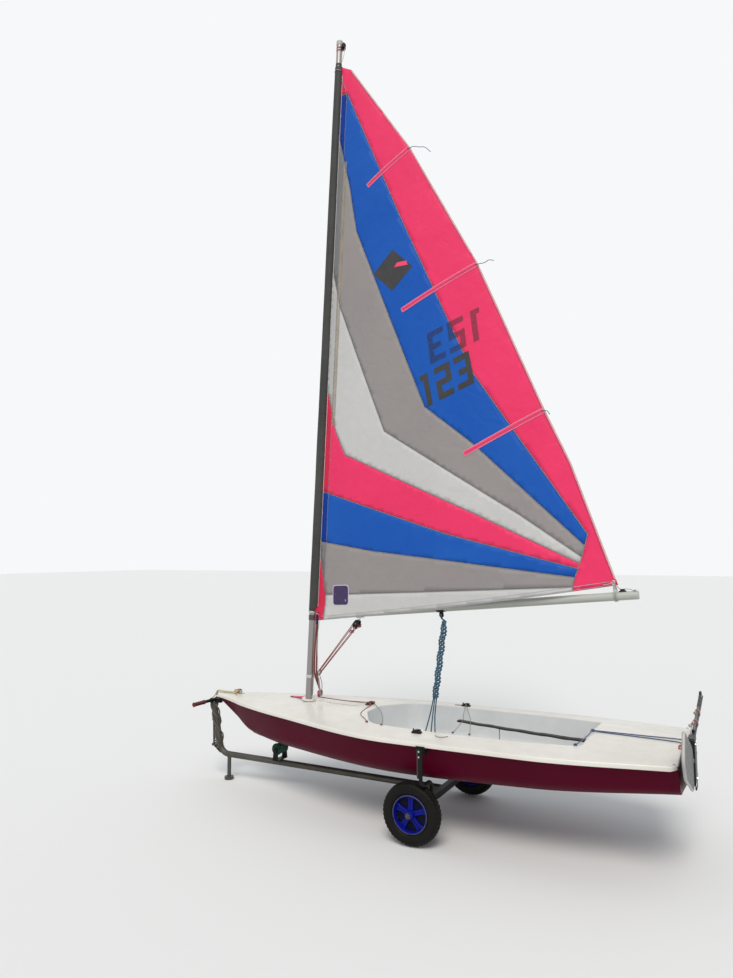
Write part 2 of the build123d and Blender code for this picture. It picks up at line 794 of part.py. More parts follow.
def blade():
    origin = loa + pintle_off
    shape = [(origin + r, z) for r, z, radius in BLADE]
    body = slab(shape, -blade_thick / 2, blade_thick / 2, [radius for r, z, radius in BLADE])
    head = rod(from_pintle(pivot_r, -blade_thick / 2, pivot_z), from_pintle(pivot_r, blade_thick / 2, pivot_z), blade_head)
    hole = rod(from_pintle(pivot_r, -60, pivot_z), from_pintle(pivot_r, 60, pivot_z), pivot_bolt + 0.3)
    down = (body + head) - hole
    return down.rotate(Axis(from_pintle(pivot_r, 0, pivot_z), (0, 1, 0)), blade_kick)


def turned(piece):
    """Puts a rudder piece from amidships to the angle at which it is parked."""
    return piece.rotate(Axis(from_pintle(0, 0, 0), (0, 0, 1)), -rudder_turn)


def wheel(side):
    """Tyre and rim as turned profiles about the axle, the tyre open to the rim."""
    centre = at(axle_s, side * track / 2, wheel_r)
    frame = Plane(origin=centre, x_dir=(1, 0, 0), z_dir=(0, 1, 0))
    half = wheel_wide / 2
    wall = 9.0
    bead = rim_r
    outer = Wire([
        Edge.make_line((bead, 0, -34), (bead + 14, 0, -44)),
        Edge.make_three_point_arc((bead + 14, 0, -44), (wheel_r - 34, 0, -half), (wheel_r - 14, 0, -36)),
        Edge.make_three_point_arc((wheel_r - 14, 0, -36), (wheel_r, 0, 0), (wheel_r - 14, 0, 36)),
        Edge.make_three_point_arc((wheel_r - 14, 0, 36), (wheel_r - 34, 0, half), (bead + 14, 0, 44)),
        Edge.make_line((bead + 14, 0, 44), (bead, 0, 34)),
        Edge.make_line((bead, 0, 34), (bead, 0, 24)),
        Edge.make_line((bead, 0, 24), (bead + 14, 0, 32)),
        Edge.make_three_point_arc((bead + 14, 0, 32), (wheel_r - wall - 4, 0, 0), (bead + 14, 0, -32)),
        Edge.make_line((bead + 14, 0, -32), (bead, 0, -24)),
        Edge.make_line((bead, 0, -24), (bead, 0, -34)),
    ])
    tyre = frame.location * revolve(Face(outer), Axis.Z, 360)
    barrel = Cylinder(bead, barrel_wide) - Cylinder(bead - 7, barrel_wide + 10)
    flange = Cylinder(bead - 1, flange_wide) - Cylinder(bead - 14, flange_wide + 10)
    hub = Cylinder(hub_r, hub_long)
    spokes = []
    for i in range(spoke_count):
        turn = 360.0 / spoke_count * i + 90.0
        reach = bead - 6 - hub_r
        spokes.append(Rot(0, 0, turn) * Pos(hub_r - 6 + reach / 2, 0, 0) * Box(reach, spoke_wide, spoke_thick))
    rim = barrel + flange + hub
    for spoke in spokes:
        rim = rim + spoke
    rim = rim - Cylinder(stub_r + stub_clear, hub_long + 20)
    return tyre, frame.location * rim


def axle_beam():
    half = track / 2 - hub_long / 2 - 6
    beam = block((axle_s, 0, wheel_r), (axle_side, 2 * half, axle_side))
    hollow = block((axle_s, 0, wheel_r), (axle_side - 6, 2 * half - 24, axle_side - 6))
    return beam - hollow


def axle_stubs():
    pieces = []
    inner = track / 2 - hub_long / 2 - 6
    for side in (-1, 1):
        shaft = rod(at(axle_s, side * inner, wheel_r), at(axle_s, side * (track / 2 + hub_long / 2 + 16), wheel_r), stub_r)
        washer = rod(at(axle_s, side * inner, wheel_r), at(axle_s, side * (inner + 3), wheel_r), 17)
        clip = rod(at(axle_s, side * (track / 2 + hub_long / 2 + 3), wheel_r),
                   at(axle_s, side * (track / 2 + hub_long / 2 + 9), wheel_r), 17)
        pieces.append((shaft + washer + clip).solid())
    return Compound(pieces)


def main_tube():
    back = at(axle_s - axle_side / 2, 0, wheel_r)
    low = at(post_foot_s, 0, wheel_r)
    high = at(post_top[0], 0, post_top[1])
    solid = bent_rod([back, low, high], tube_r, post_bend)
    hollow = bent_rod([back, low, high], tube_r - tube_wall, post_bend)
    bar_z = post_top[1] + handle_r
    seat = rod(at(post_top[0], -60, bar_z), at(post_top[0], 60, bar_z), handle_r)
    return solid - hollow - seat


def handle_bar():
    bar = tube(at(post_top[0], -handle_half, post_top[1] + handle_r), at(post_top[0], handle_half, post_top[1] + handle_r),
               handle_r, 2)
    return bar


def grips():
    pieces = []
    for side in (-1, 1):
        near = side * (handle_half - grip_long)
        far = side * handle_half
        sleeve = rod(at(post_top[0], near, post_top[1] + handle_r), at(post_top[0], far + side * 4, post_top[1] + handle_r), grip_r)
        bore = rod(at(post_top[0], near - side, post_top[1] + handle_r), at(post_top[0], far, post_top[1] + handle_r), handle_r)
        pieces.append((sleeve - bore).solid())
    return Compound(pieces)


def front_leg():
    leg = rod(at(leg_s, 0, foot_high), at(leg_s, 0, wheel_r), leg_r)
    return leg - rod(at(leg_s - 60, 0, wheel_r), at(leg_s + 60, 0, wheel_r), tube_r)


def leg_foot():
    return rod(at(leg_s, 0, 0), at(leg_s, 0, foot_high), foot_r)


def roller_centre():
    return keel_at(roller_s) - roller_r - roller_clear


def keel_roller():
    centre = roller_centre()
    drum = rod(at(roller_s, -roller_half, centre), at(roller_s, roller_half, centre), roller_r)
    core = rod(at(roller_s, -roller_half - 1, centre), at(roller_s, roller_half + 1, centre), 9)
    return drum - core


def roller_bracket():
    centre = roller_centre()
    pieces = []
    for side in (-1, 1):
        y = side * (roller_half + 4)
        plate = slab([(roller_s - 26, wheel_r + tube_r), (roller_s + 26, wheel_r + tube_r), (roller_s + 16, centre + 14),
                      (roller_s - 16, centre + 14)], y - 3, y + 3, [0, 0, 12, 12])
        pieces.append(plate)
    base = block((roller_s, 0, wheel_r + tube_r + 3), (52, 2 * roller_half + 14, 6))
    pin = rod(at(roller_s, -roller_half - 12, centre), at(roller_s, roller_half + 12, centre), 8.7)
    return pieces[0] + pieces[1] + base + pin


def side_props():
    pieces = []
    for side in (-1, 1):
        path = [at(prop_s, side * y, z) for y, z in PROP]
        arm_from = axle_s + axle_side / 2
        arm_to = prop_s + prop_r
        arm = block(((arm_from + arm_to) / 2, side * PROP[0][0], wheel_r), (arm_to - arm_from, 30, 30))
        low, high = post_plate_z
        wide, thick = post_plate
        plate_y = PROP[-1][0] + prop_r + thick / 2 - 2
        plate = block((prop_s, side * plate_y, (low + high) / 2), (wide, thick, high - low))
        pieces.append(bent_rod(path, prop_r, prop_bend) + arm + plate)
    return pieces


def gunwale_pads(deck_solid, hull_solid):
    pieces = []
    for side in (-1, 1):
        y, z = PROP[-1]
        pad = block((prop_s, side * (y + prop_r - 2 - pad_size[1] / 2), z + pad_size[2] / 2), pad_size)
        pieces.append(pad - deck_solid - hull_solid)
    return pieces


def assemble():
    outer_hull, hull_shell = hull()
    outer_deck = through_ribs(deck_section, 0)
    slot = slot_block(slot_wide + 2 * slot_wall, slot_s[0] - slot_wall, slot_s[1] + slot_wall, 200, 900)
    deck_moulding = deck(outer_deck)
    whole_sail = sail(cloth)
    lower, upper, head = mast_pieces()
    root = {
        "hull_shell": hull_shell - slot,
        "deck_moulding": deck_moulding,
        "daggerboard_case": daggerboard_case(outer_hull, outer_deck),
        "mast_step": mast_step(),
        "bow_fitting": bow_fitting(outer_deck),
        "jam_cleats": jam_cleats(outer_deck),
        "control_cleats": control_cleats(outer_deck),
        "sheet_base": sheet_base(),
        "toe_strap": toe_strap(),
        "gudgeons": gudgeons(),
        "stern_fitting": stern_fitting(outer_deck),
        "trolley_tube": main_tube(),
        "handle_bar": handle_bar(),
        "handle_grips": grips(),
        "front_leg": front_leg(),
        "leg_foot": leg_foot(),
        "keel_roller": keel_roller(),
        "roller_bracket": roller_bracket(),
        "axle_beam": axle_beam(),
        "axle_stubs": axle_stubs(),
        "side_props": Compound([p.solid() for p in side_props()]),
        "gunwale_pads": Compound([p.solid() for p in gunwale_pads(deck_moulding, outer_hull)]),
    }
    panels = sail_panels(whole_sail)
    rig = {
        "mast_lower": lower,
        "mast_upper": upper,
        "mast_head": head,
        "luff_sleeve": luff_sleeve(),
        "sail_pink": panels["pink"],
        "sail_blue": panels["blue"],
        "sail_grey": panels["grey"],
        "sail_white": panels["white"],
        "batten_pockets": batten_pockets(whole_sail),
        "boom": boom(),
        "boom_ends": boom_ends(),
        "gooseneck": gooseneck(),
        "mast_tang": mast_tang(),
        "boom_fittings": boom_fittings(),
    }
    rudder = {
        "rudder_head": turned(rudder_head()),
        "tiller": turned(tiller()),
        "pintles": Compound([turned(p).solid() for p in pintles()]),
    }
    nodes = {**root, **rig, **rudder, "rudder_blade": turned(blade())}
    for name, side in (("port", 1), ("starboard", -1)):
        tyre, rim = wheel(side)
        nodes[name + "_tyre"] = tyre
        nodes[name + "_rim"] = rim
    return nodes


if __name__ == "__main__":
    os.makedirs("parts", exist_ok=True)
    for name, shape in assemble().items():
        export_step(shape, f"parts/{name}.step")
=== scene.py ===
import math

import bmesh
import bpy
import numpy as np
from mathutils import Matrix, Vector, noise
from mathutils.geometry import delaunay_2d_cdt


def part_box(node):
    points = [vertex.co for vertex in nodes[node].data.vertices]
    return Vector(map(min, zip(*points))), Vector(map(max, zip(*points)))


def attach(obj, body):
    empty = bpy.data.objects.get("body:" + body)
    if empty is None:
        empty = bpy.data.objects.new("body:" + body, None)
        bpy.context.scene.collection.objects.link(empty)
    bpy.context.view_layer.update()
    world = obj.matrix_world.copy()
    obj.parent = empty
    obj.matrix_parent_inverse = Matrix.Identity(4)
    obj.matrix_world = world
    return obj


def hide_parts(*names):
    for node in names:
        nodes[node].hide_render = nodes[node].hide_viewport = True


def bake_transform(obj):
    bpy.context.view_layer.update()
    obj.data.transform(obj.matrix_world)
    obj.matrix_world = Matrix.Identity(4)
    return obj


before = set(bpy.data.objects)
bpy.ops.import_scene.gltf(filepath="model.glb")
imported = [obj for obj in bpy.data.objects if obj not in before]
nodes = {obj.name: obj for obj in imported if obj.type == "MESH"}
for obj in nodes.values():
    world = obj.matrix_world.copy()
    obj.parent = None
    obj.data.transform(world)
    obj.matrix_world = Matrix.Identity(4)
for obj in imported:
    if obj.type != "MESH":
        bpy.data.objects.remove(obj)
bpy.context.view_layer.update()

# Where the boat stands. Places are in metres: s aft from the stem along the centre line, y to port
# and z up from the yard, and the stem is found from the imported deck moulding.
stem_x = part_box("deck_moulding")[1].x


def place(s, y, z):
    """A place in the boat's own measures."""
    return Vector((stem_x - s, y, z))


# The eye is a standing person's, on the boat's port side and a little behind its stern, looking
# slightly up at the sail.
eye = place(4.057, 4.967, 1.872)
heading = Vector((0.468, -0.884, 0.0)).normalized()
pitch = 0.0893
roll = -0.0024
lens_mm = 26.57

ahead = heading * math.cos(pitch) + Vector((0, 0, 1)) * math.sin(pitch)
level_right = ahead.cross(Vector((0, 0, 1))).normalized()
level_up = level_right.cross(ahead)
right = level_right * math.cos(roll) + level_up * math.sin(roll)
up = level_up * math.cos(roll) - level_right * math.sin(roll)
camera = bpy.data.objects.new("camera", bpy.data.cameras.new("camera"))
camera.data.lens = lens_mm
camera.data.sensor_width = 36.0
camera.data.clip_start = 0.05
camera.data.clip_end = 200.0
camera.matrix_world = Matrix((
    (right.x, up.x, -ahead.x, eye.x),
    (right.y, up.y, -ahead.y, eye.y),
    (right.z, up.z, -ahead.z, eye.z),
    (0, 0, 0, 1),
))
bpy.context.scene.collection.objects.link(camera)
bpy.context.scene.camera = camera
bpy.context.scene.view_settings.view_transform = "Standard"


# The studio: one pale floor, a pale surround that lights the boat evenly, and one large soft lamp
# high on the port side, where the open sky is.
def feed(tree, node, inputs):
    """Sets a node's inputs, each to a value, an output or another node's first output."""
    for key, value in inputs.items():
        if isinstance(value, bpy.types.Node):
            value = value.outputs[0]
        if isinstance(value, bpy.types.NodeSocket):
            tree.links.new(value, node.inputs[key])
        else:
            node.inputs[key].default_value = value
    return node


def add(tree, kind, inputs=None, **settings):
    """A shader node with its settings and inputs."""
    made = tree.nodes.new("ShaderNode" + kind)
    for name, value in settings.items():
        setattr(made, name, value)
    return feed(tree, made, inputs or {})


def maths(tree, operation, *values, **settings):
    """A maths node over one or two values."""
    return add(tree, "Math", dict(enumerate(values)), operation=operation, **settings)


def new_finish(name):
    """A new material, its node tree and its shader."""
    material = bpy.data.materials.new(name)
    material.use_nodes = True
    return material, material.node_tree, material.node_tree.nodes["Principled BSDF"]


def rgb(red, green, blue):
    """An opaque colour, in linear light."""
    return (red, green, blue, 1.0)


surround = bpy.data.worlds.new("pale_surround")
surround.use_nodes = True
sky = surround.node_tree
sky.nodes.clear()
light_path = add(sky, "LightPath")
sees_plain = maths(sky, "MAXIMUM", light_path.outputs["Is Camera Ray"], light_path.outputs["Is Glossy Ray"])
sees_plain = maths(sky, "MAXIMUM", sees_plain, light_path.outputs["Is Transmission Ray"])
even_light = add(sky, "Background", {"Color": rgb(0.90, 0.95, 1.0), "Strength": 0.62})
plain_back = add(sky, "Background", {"Color": rgb(0.93, 0.94, 0.95), "Strength": 1.0})
either = add(sky, "MixShader", {0: sees_plain, 1: even_light, 2: plain_back})
add(sky, "OutputWorld", {"Surface": either})
bpy.context.scene.world = surround

floor_half = 60.0
floor_low = -0.002
floor_mesh = bpy.data.meshes.new("studio_floor")
floor_corners = [
    (a * floor_half, b * floor_half, floor_low) for a, b in ((-1, -1), (1, -1), (1, 1), (-1, 1))]
floor_mesh.from_pydata(floor_corners, [], [(0, 1, 2, 3)])
studio_floor = bpy.data.objects.new("studio_floor", floor_mesh)
bpy.context.scene.collection.objects.link(studio_floor)
floor_paint, floor_tree, floor_shader = new_finish("studio_floor")
feed(floor_tree, floor_shader, {"Base Color": rgb(0.80, 0.80, 0.79), "Roughness": 0.9})
floor_mesh.materials.append(floor_paint)

lamp = bpy.data.objects.new("soft_sun", bpy.data.lights.new("soft_sun", "SUN"))
lamp.data.energy = 1.9
lamp.data.angle = math.radians(28)
lamp.data.color = (1.0, 0.965, 0.91)
lamp.rotation_mode = "QUATERNION"
lamp.rotation_quaternion = Vector((0.20, -0.62, -0.76)).to_track_quat("-Z", "Y")
bpy.context.scene.collection.objects.link(lamp)


# The hull is one glass-fibre moulding in dark red gelcoat, a hard bilge that softens into a shallow
# vee bottom. It is laid up in a polished mould, so it is glossy, and chalky where it has faded.
hull_length = 3.65
lip_depth = 0.030
lip_thick = 0.012
lip_round = 0.009
hull_gap = 0.003
hull_drop = 0.005
stem_round = 0.030
keel_round = 0.012
slot_from, slot_to, slot_half = 1.075, 1.355, 0.015
crown_share = 0.060

# Columns: s, half beam at the gunwale, gunwale height, keel height, half width and height of the
# bilge corner, radius of the bilge
STATIONS = [
    (0.00, 0.034, 0.700, 0.652, 0.014, 0.664, 0.006),
    (0.20, 0.122, 0.698, 0.512, 0.052, 0.566, 0.030),
    (0.42, 0.236, 0.694, 0.386, 0.128, 0.462, 0.070),
    (0.90, 0.405, 0.686, 0.340, 0.302, 0.424, 0.130),
    (1.90, 0.634, 0.671, 0.328, 0.480, 0.402, 0.170),
    (2.80, 0.628, 0.674, 0.362, 0.476, 0.430, 0.160),
    (3.65, 0.508, 0.686, 0.444, 0.396, 0.496, 0.120),
]


def slope(column, i):
    """The fair curve's slope at one station, flat where the numbers turn back."""
    if i in (0, len(STATIONS) - 1):
        a, b = (0, 1) if i == 0 else (i - 1, i)
        return (STATIONS[b][column] - STATIONS[a][column]) / (STATIONS[b][0] - STATIONS[a][0])
    run_a = STATIONS[i][0] - STATIONS[i - 1][0]
    run_b = STATIONS[i + 1][0] - STATIONS[i][0]
    rise_a = (STATIONS[i][column] - STATIONS[i - 1][column]) / run_a
    rise_b = (STATIONS[i + 1][column] - STATIONS[i][column]) / run_b
    if rise_a * rise_b <= 0:
        return 0.0
    return 3 * (run_a + run_b) / ((2 * run_b + run_a) / rise_a + (run_b + 2 * run_a) / rise_b)


def fair(column, s):
    """A column of the stations' table at any distance aft, on a fair curve."""
    i = 0
    while i < len(STATIONS) - 2 and s > STATIONS[i + 1][0]:
        i += 1
    run = STATIONS[i + 1][0] - STATIONS[i][0]
    t = (s - STATIONS[i][0]) / run
    a, b = STATIONS[i][column], STATIONS[i + 1][column]
    da, db = slope(column, i) * run, slope(column, i + 1) * run
    return (a * (1 + 2 * t) * (1 - t) ** 2 + da * t * (1 - t) ** 2
            + b * t * t * (3 - 2 * t) + db * t * t * (t - 1))


def nose(s):
    """How wide the rounded stem has grown at s, from 0 to 1."""
    if s >= stem_round:
        return 1.0
    return math.sqrt(max(0.0, 1 - (1 - s / stem_round) ** 2))


def span(a, b, count):
    """Evenly spaced numbers from a to b, both included."""
    return [a + (b - a) * i / (count - 1) for i in range(count)]


def circle(count):
    """The angles of a full turn in equal steps, from 0."""
    return span(0, 2 * math.pi, count + 1)[:-1]


def half_section(s):
    """The hull's port half at one station, from under the gunwale down to the keel, as (y, z)."""
    half, sheer, keel, bilge, bilge_z, radius = [fair(column, s) for column in range(1, 7)]
    full = nose(s)
    top = Vector(((half - lip_thick - hull_gap) * full, sheer - hull_drop))
    corner = Vector((bilge * full, bilge_z))
    foot = Vector((0.0, keel))
    rise = (top - corner).normalized()
    run = (foot - corner).normalized()
    half_turn = rise.angle(run) / 2
    reach = min(radius / math.tan(half_turn), 0.9 * (foot - corner).length, 0.9 * (top - corner).length)
    radius = reach * math.tan(half_turn)
    start, end = corner + rise * reach, corner + run * reach
    middle = corner + (rise + run).normalized() * (radius / math.sin(half_turn))
    first, last = start - middle, end - middle
    turn = first.angle(last) if first.length > 1e-9 else 0.0
    points = [top.lerp(start, t) for t in span(0, 1, 9)[:-1]]
    for t in span(0, 1, 12):
        if turn < 1e-6:
            points.append(start.lerp(end, t))
            continue
        points.append(
            middle + (first * math.sin((1 - t) * turn) + last * math.sin(t * turn)) / math.sin(turn))
    deadrise = (end.y - keel) / max(end.x, 1e-9)
    edge = min(slot_half, end.x * 0.5)
    for y in span(end.x, edge, 7)[1:] + [edge * 0.6, edge * 0.3, 0.0]:
        points.append(Vector((y, keel + deadrise * y)))
    soft = keel_round * full + 1e-6
    for point in points:
        point.y += deadrise * soft * math.exp(-point.x / soft)
    return points


class Form:
    """The points, faces and flat texture places that make up one piece."""

    def __init__(self):
        self.points = []
        self.faces = []
        self.marks = []

    def rows(self, rows, around=False, along=None, across=None, flip=False, skip=None):
        """Quads between rows of points. along and across give the texture places in metres."""
        first = len(self.points)
        wide = len(rows[0])
        for row in rows:
            self.points.extend(Vector(p) for p in row)
        along = along or list(range(len(rows)))
        across = across or list(range(wide + 1))
        for r in range(len(rows) - 1):
            for c in range(wide if around else wide - 1):
                if skip and skip(r, c):
                    continue
                after = (c + 1) % wide
                face = [first + r * wide + c, first + r * wide + after,
                        first + (r + 1) * wide + after, first + (r + 1) * wide + c]
                mark = [(across[c], along[r]), (across[c + 1], along[r]),
                        (across[c + 1], along[r + 1]), (across[c], along[r + 1])]
                self.faces.append(face[::-1] if flip else face)
                self.marks.append(mark[::-1] if flip else mark)

    def face(self, points, flip=False):
        """One face with corners of its own."""
        first = len(self.points)
        self.points.extend(Vector(p) for p in points)
        order = list(range(first, len(self.points)))
        self.faces.append(order[::-1] if flip else order)
        self.marks.append([(0.0, 0.0)] * len(order))

    def triangles(self, points, faces, flip=False):
        """Faces given by the numbers of their points."""
        first = len(self.points)
        self.points.extend(Vector(p) for p in points)
        for face in faces:
            order = [first + i for i in face]
            self.faces.append(order[::-1] if flip else order)
            self.marks.append([(0.0, 0.0)] * len(order))

    def piece(self, name, finish, body, slot=None, crease=40, merge=1e-5):
        """Makes the piece, in this finish, riding on this body."""
        mesh = bpy.data.meshes.new(name)
        mesh.from_pydata([tuple(p) for p in self.points], [], self.faces)
        flat = mesh.uv_layers.new(name="flat")
        flat.data.foreach_set("uv", [value for face in self.marks for mark in face for value in mark])
        if merge:
            weld(mesh, merge)
        mesh.materials.append(finish)
        mesh.shade_smooth()
        mesh.set_sharp_from_angle(angle=math.radians(crease))
        made = bpy.data.objects.new(name, mesh)
        bpy.context.scene.collection.objects.link(made)
        if body:
            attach(made, body)
        return made


def weld(mesh, distance):
    """Joins points that lie together, so that a piece's patches make one skin."""
    skin = bmesh.new()
    skin.from_mesh(mesh)
    bmesh.ops.remove_doubles(skin, verts=skin.verts, dist=distance)
    bmesh.ops.dissolve_degenerate(skin, edges=skin.edges, dist=1e-7)
    skin.to_mesh(mesh)
    skin.free()


def effect(name, inputs, outputs):
    """An empty shader group with named sockets, ready to be filled."""
    tree = bpy.data.node_groups.new(name, "ShaderNodeTree")
    for label, kind, value in inputs:
        socket = tree.interface.new_socket(label, in_out="INPUT", socket_type="NodeSocket" + kind)
        socket.default_value = value
    for label, kind in outputs:
        tree.interface.new_socket(label, in_out="OUTPUT", socket_type="NodeSocket" + kind)
    return tree, tree.nodes.new("NodeGroupInput"), tree.nodes.new("NodeGroupOutput")


def use(tree, group, inputs):
    """One copy of an effect in a material."""
    made = tree.nodes.new("ShaderNodeGroup")
    made.node_tree = group
    return feed(tree, made, inputs)


# Gelcoat, paint and plastic fade unevenly: broad pale clouds with a finer cloud inside them.
uneven, start, end = effect("uneven_fade", [("Vector", "Vector", (0, 0, 0)), ("Scale", "Float", 2.0)],
                            [("Mask", "Float"), ("Fine", "Float")])
broad = add(uneven, "TexNoise", {"Vector": start.outputs["Vector"], "Scale": start.outputs["Scale"],
                                 "Detail": 5.0, "Roughness": 0.6})
finer = maths(uneven, "MULTIPLY", start.outputs["Scale"], 9.0)
small = add(uneven, "TexNoise", {"Vector": start.outputs["Vector"], "Scale": finer, "Detail": 4.0,
                                 "Roughness": 0.65})
both = maths(uneven, "MULTIPLY", small, 0.35)
total = maths(uneven, "ADD", broad, both)
spread = add(uneven, "MapRange", {"Value": total, 1: 0.48, 2: 0.88})
feed(uneven, end, {"Mask": spread, "Fine": small})

# Scuffs are short thin scratches in clusters, where something has rubbed.
scuffed, start, end = effect("scuffs", [("Vector", "Vector", (0, 0, 0)), ("Scale", "Float", 6.0),
                                        ("Cover", "Float", 0.3)], [("Mask", "Float")])
long_way = add(scuffed, "Mapping", {"Vector": start.outputs["Vector"], "Scale": (1.0, 7.0, 9.0),
                                    "Rotation": (0.3, 0.5, 0.2)})
lines = add(scuffed, "TexNoise", {"Vector": long_way, "Scale": start.outputs["Scale"], "Detail": 6.0,
                                  "Roughness": 0.75})
thin = add(scuffed, "MapRange", {"Value": lines, 1: 0.60, 2: 0.70})
cluster = add(scuffed, "TexNoise", {"Vector": start.outputs["Vector"], "Scale": 2.3, "Detail": 2.0})
limit = maths(scuffed, "SUBTRACT", 0.75, start.outputs["Cover"])
where = maths(scuffed, "SUBTRACT", cluster, limit)
where = maths(scuffed, "MULTIPLY", where, 9.0, use_clamp=True)
shown = maths(scuffed, "MULTIPLY", thin, where)
feed(scuffed, end, {"Mask": shown})

# Dirt settles on what faces up, more in some places than in others.
settled, start, end = effect("settled_dirt", [("Vector", "Vector", (0, 0, 0)), ("Scale", "Float", 4.0),
                                              ("Amount", "Float", 0.3)], [("Mask", "Float")])
facing = add(settled, "NewGeometry")
parts = add(settled, "SeparateXYZ", {0: facing.outputs["Normal"]})
upward = add(settled, "MapRange", {"Value": parts.outputs["Z"], 1: 0.2, 2: 0.95})
cloud = add(settled, "TexNoise", {"Vector": start.outputs["Vector"], "Scale": start.outputs["Scale"],
                                  "Detail": 8.0, "Roughness": 0.7})
patchy = add(settled, "MapRange", {"Value": cloud, 1: 0.42, 2: 0.72})
dirt = maths(settled, "MULTIPLY", upward, patchy)
dirt = maths(settled, "MULTIPLY", dirt, start.outputs["Amount"])
feed(settled, end, {"Mask": dirt})


def mixed(tree, mask, a, b):
    """A colour between a and b."""
    return add(tree, "Mix", {0: mask, 6: a, 7: b}, data_type="RGBA").outputs[2]


def surface(name, colour, faded, fade_scale=2.0, worn=None, cover=0.25, worn_scale=8.0, dust=0.0,
            dust_colour=(0.30, 0.27, 0.22, 1.0), dust_scale=5.0, rough=(0.3, 0.45), metal=0.0, coat=0.0,
            grain=0.0, grain_scale=400.0, stretch=(1, 1, 1), mirror=0.5):
    """A finish of one colour that fades, scuffs and gathers dirt, with a fine grain in its skin."""
    material, tree, shader = new_finish(name)
    spot = add(tree, "TexCoord").outputs["Object"]
    if stretch != (1, 1, 1):
        spot = add(tree, "Mapping", {"Vector": spot, "Scale": stretch})
    fade = use(tree, uneven, {"Vector": spot, "Scale": fade_scale})
    paint = mixed(tree, fade.outputs["Mask"], colour, faded)
    rough_out = add(tree, "MapRange", {
        "Value": fade.outputs["Fine"], 1: 0.35, 2: 0.7, 3: rough[0], 4: rough[1]})
    if worn is not None:
        marks = use(tree, scuffed, {"Vector": spot, "Scale": worn_scale, "Cover": cover})
        paint = mixed(tree, marks, paint, worn)
        rough_out = maths(tree, "ADD", rough_out, marks, use_clamp=True)
        rough_out = maths(tree, "MINIMUM", rough_out, 0.75)
    if dust:
        layer = use(tree, settled, {"Vector": spot, "Scale": dust_scale, "Amount": dust})
        paint = mixed(tree, layer, paint, dust_colour)
    feed(tree, shader, {"Base Color": paint, "Roughness": rough_out, "Metallic": metal, "Coat Weight": coat,
                        "Specular IOR Level": mirror})
    if grain:
        fine = add(tree, "TexNoise", {"Vector": spot, "Scale": grain_scale, "Detail": 3.0})
        feed(tree, shader, {
            "Normal": add(tree, "Bump", {"Height": fine, "Strength": 0.6, "Distance": grain})})
    return material


hull_red = surface(
    "hull_red_gelcoat", rgb(0.076, 0.0010, 0.0125), rgb(0.088, 0.0022, 0.0165), fade_scale=1.3,
    worn=rgb(0.150, 0.020, 0.040), cover=0.12, worn_scale=5.0, dust=0.05, rough=(0.30, 0.44), mirror=0.05,
    grain=0.0004, grain_scale=30.0)
nose_steps = [stem_round * (1 - math.cos(t)) for t in span(0.12, math.pi / 2, 7)]
hull_steps = sorted(set([round(s, 5) for s in nose_steps + span(0.05, hull_length - 0.006, 84)]
                        + [slot_from, slot_to]))
hull_form = Form()
hull_rings = []
for s in hull_steps:
    port_half = half_section(s)
    ring = [place(s, p.x, p.y) for p in port_half]
    ring += [place(s, -p.x, p.y) for p in port_half[-2::-1]]
    hull_rings.append(ring)
edge_inset = 0.005
port_half = half_section(hull_length)
stern_ring = [
    Vector((max(p.x - edge_inset, 0.0), p.y + (edge_inset if p.x < 0.3 else 0.0))) for p in port_half]
hull_rings.append([place(hull_length, p.x, p.y) for p in stern_ring]
                  + [place(hull_length, -p.x, p.y) for p in stern_ring[-2::-1]])
keel_column = len(port_half) - 1


def in_slot(r, c):
    """Whether a face of the hull lies over the daggerboard's slot."""
    inside = slot_from - 1e-6 <= hull_steps[min(r, len(hull_steps) - 1)] < slot_to - 1e-6
    return inside and keel_column - 3 <= c < keel_column + 3


hull_form.rows(hull_rings, skip=in_slot)
stern_rows = [[place(hull_length, p.x, p.y), place(hull_length, 0.0, p.y), place(hull_length, -p.x, p.y)]
              for p in stern_ring]
hull_form.rows(stern_rows)
hull_skin = hull_form.piece("hull_skin", hull_red, "root", "hull_gelcoat", crease=50)
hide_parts("hull_shell")


# The deck is the second moulding, white gelcoat with a rolled gunwale that laps over the hull, and
# with the cockpit tub moulded into it. Feet and rope leave it dull, dusty and scuffed in the tub, and
# its cooler grey there is painted shade.
tub_floor = 0.470
tub_level = 0.690
tub_draft = 0.034
coaming_round = 0.012
floor_round = 0.045
quarter_round = 0.045
stern_lip = 0.020
mast_s = 0.906
mast_datum = 0.703
rake = math.radians(2.9)

# Columns: s, half width, corner radius
TUB = [
    (1.490, 0.110, 0.120),
    (1.650, 0.385, 0.180),
    (2.150, 0.412, 0.500),
    (2.750, 0.402, 0.500),
    (3.090, 0.352, 0.050),
]


def half_beam(s):
    """The gunwale's half width at s."""
    return fair(1, s) * nose(s)


def deck_height(s, y):
    """The cambered deck's height at a place on it."""
    half = fair(1, min(max(s, 0.0), hull_length))
    share = min(abs(y) / max(half - lip_round, 1e-6), 1.0)
    return fair(2, min(max(s, 0.0), hull_length)) + crown_share * half * (1 - share * share)


def inset(points, wall):
    """A closed outline with every side moved inward by one wall."""
    moved = []
    for i in range(len(points)):
        before, here, after = points[i - 1], points[i], points[(i + 1) % len(points)]
        a = (Vector(here) - Vector(before)).normalized()
        b = (Vector(after) - Vector(here)).normalized()
        na, nb = Vector((-a.y, a.x)), Vector((-b.y, b.x))
        moved.append(Vector(here) + (na + nb) * (wall / (1 + na.dot(nb))))
    return moved


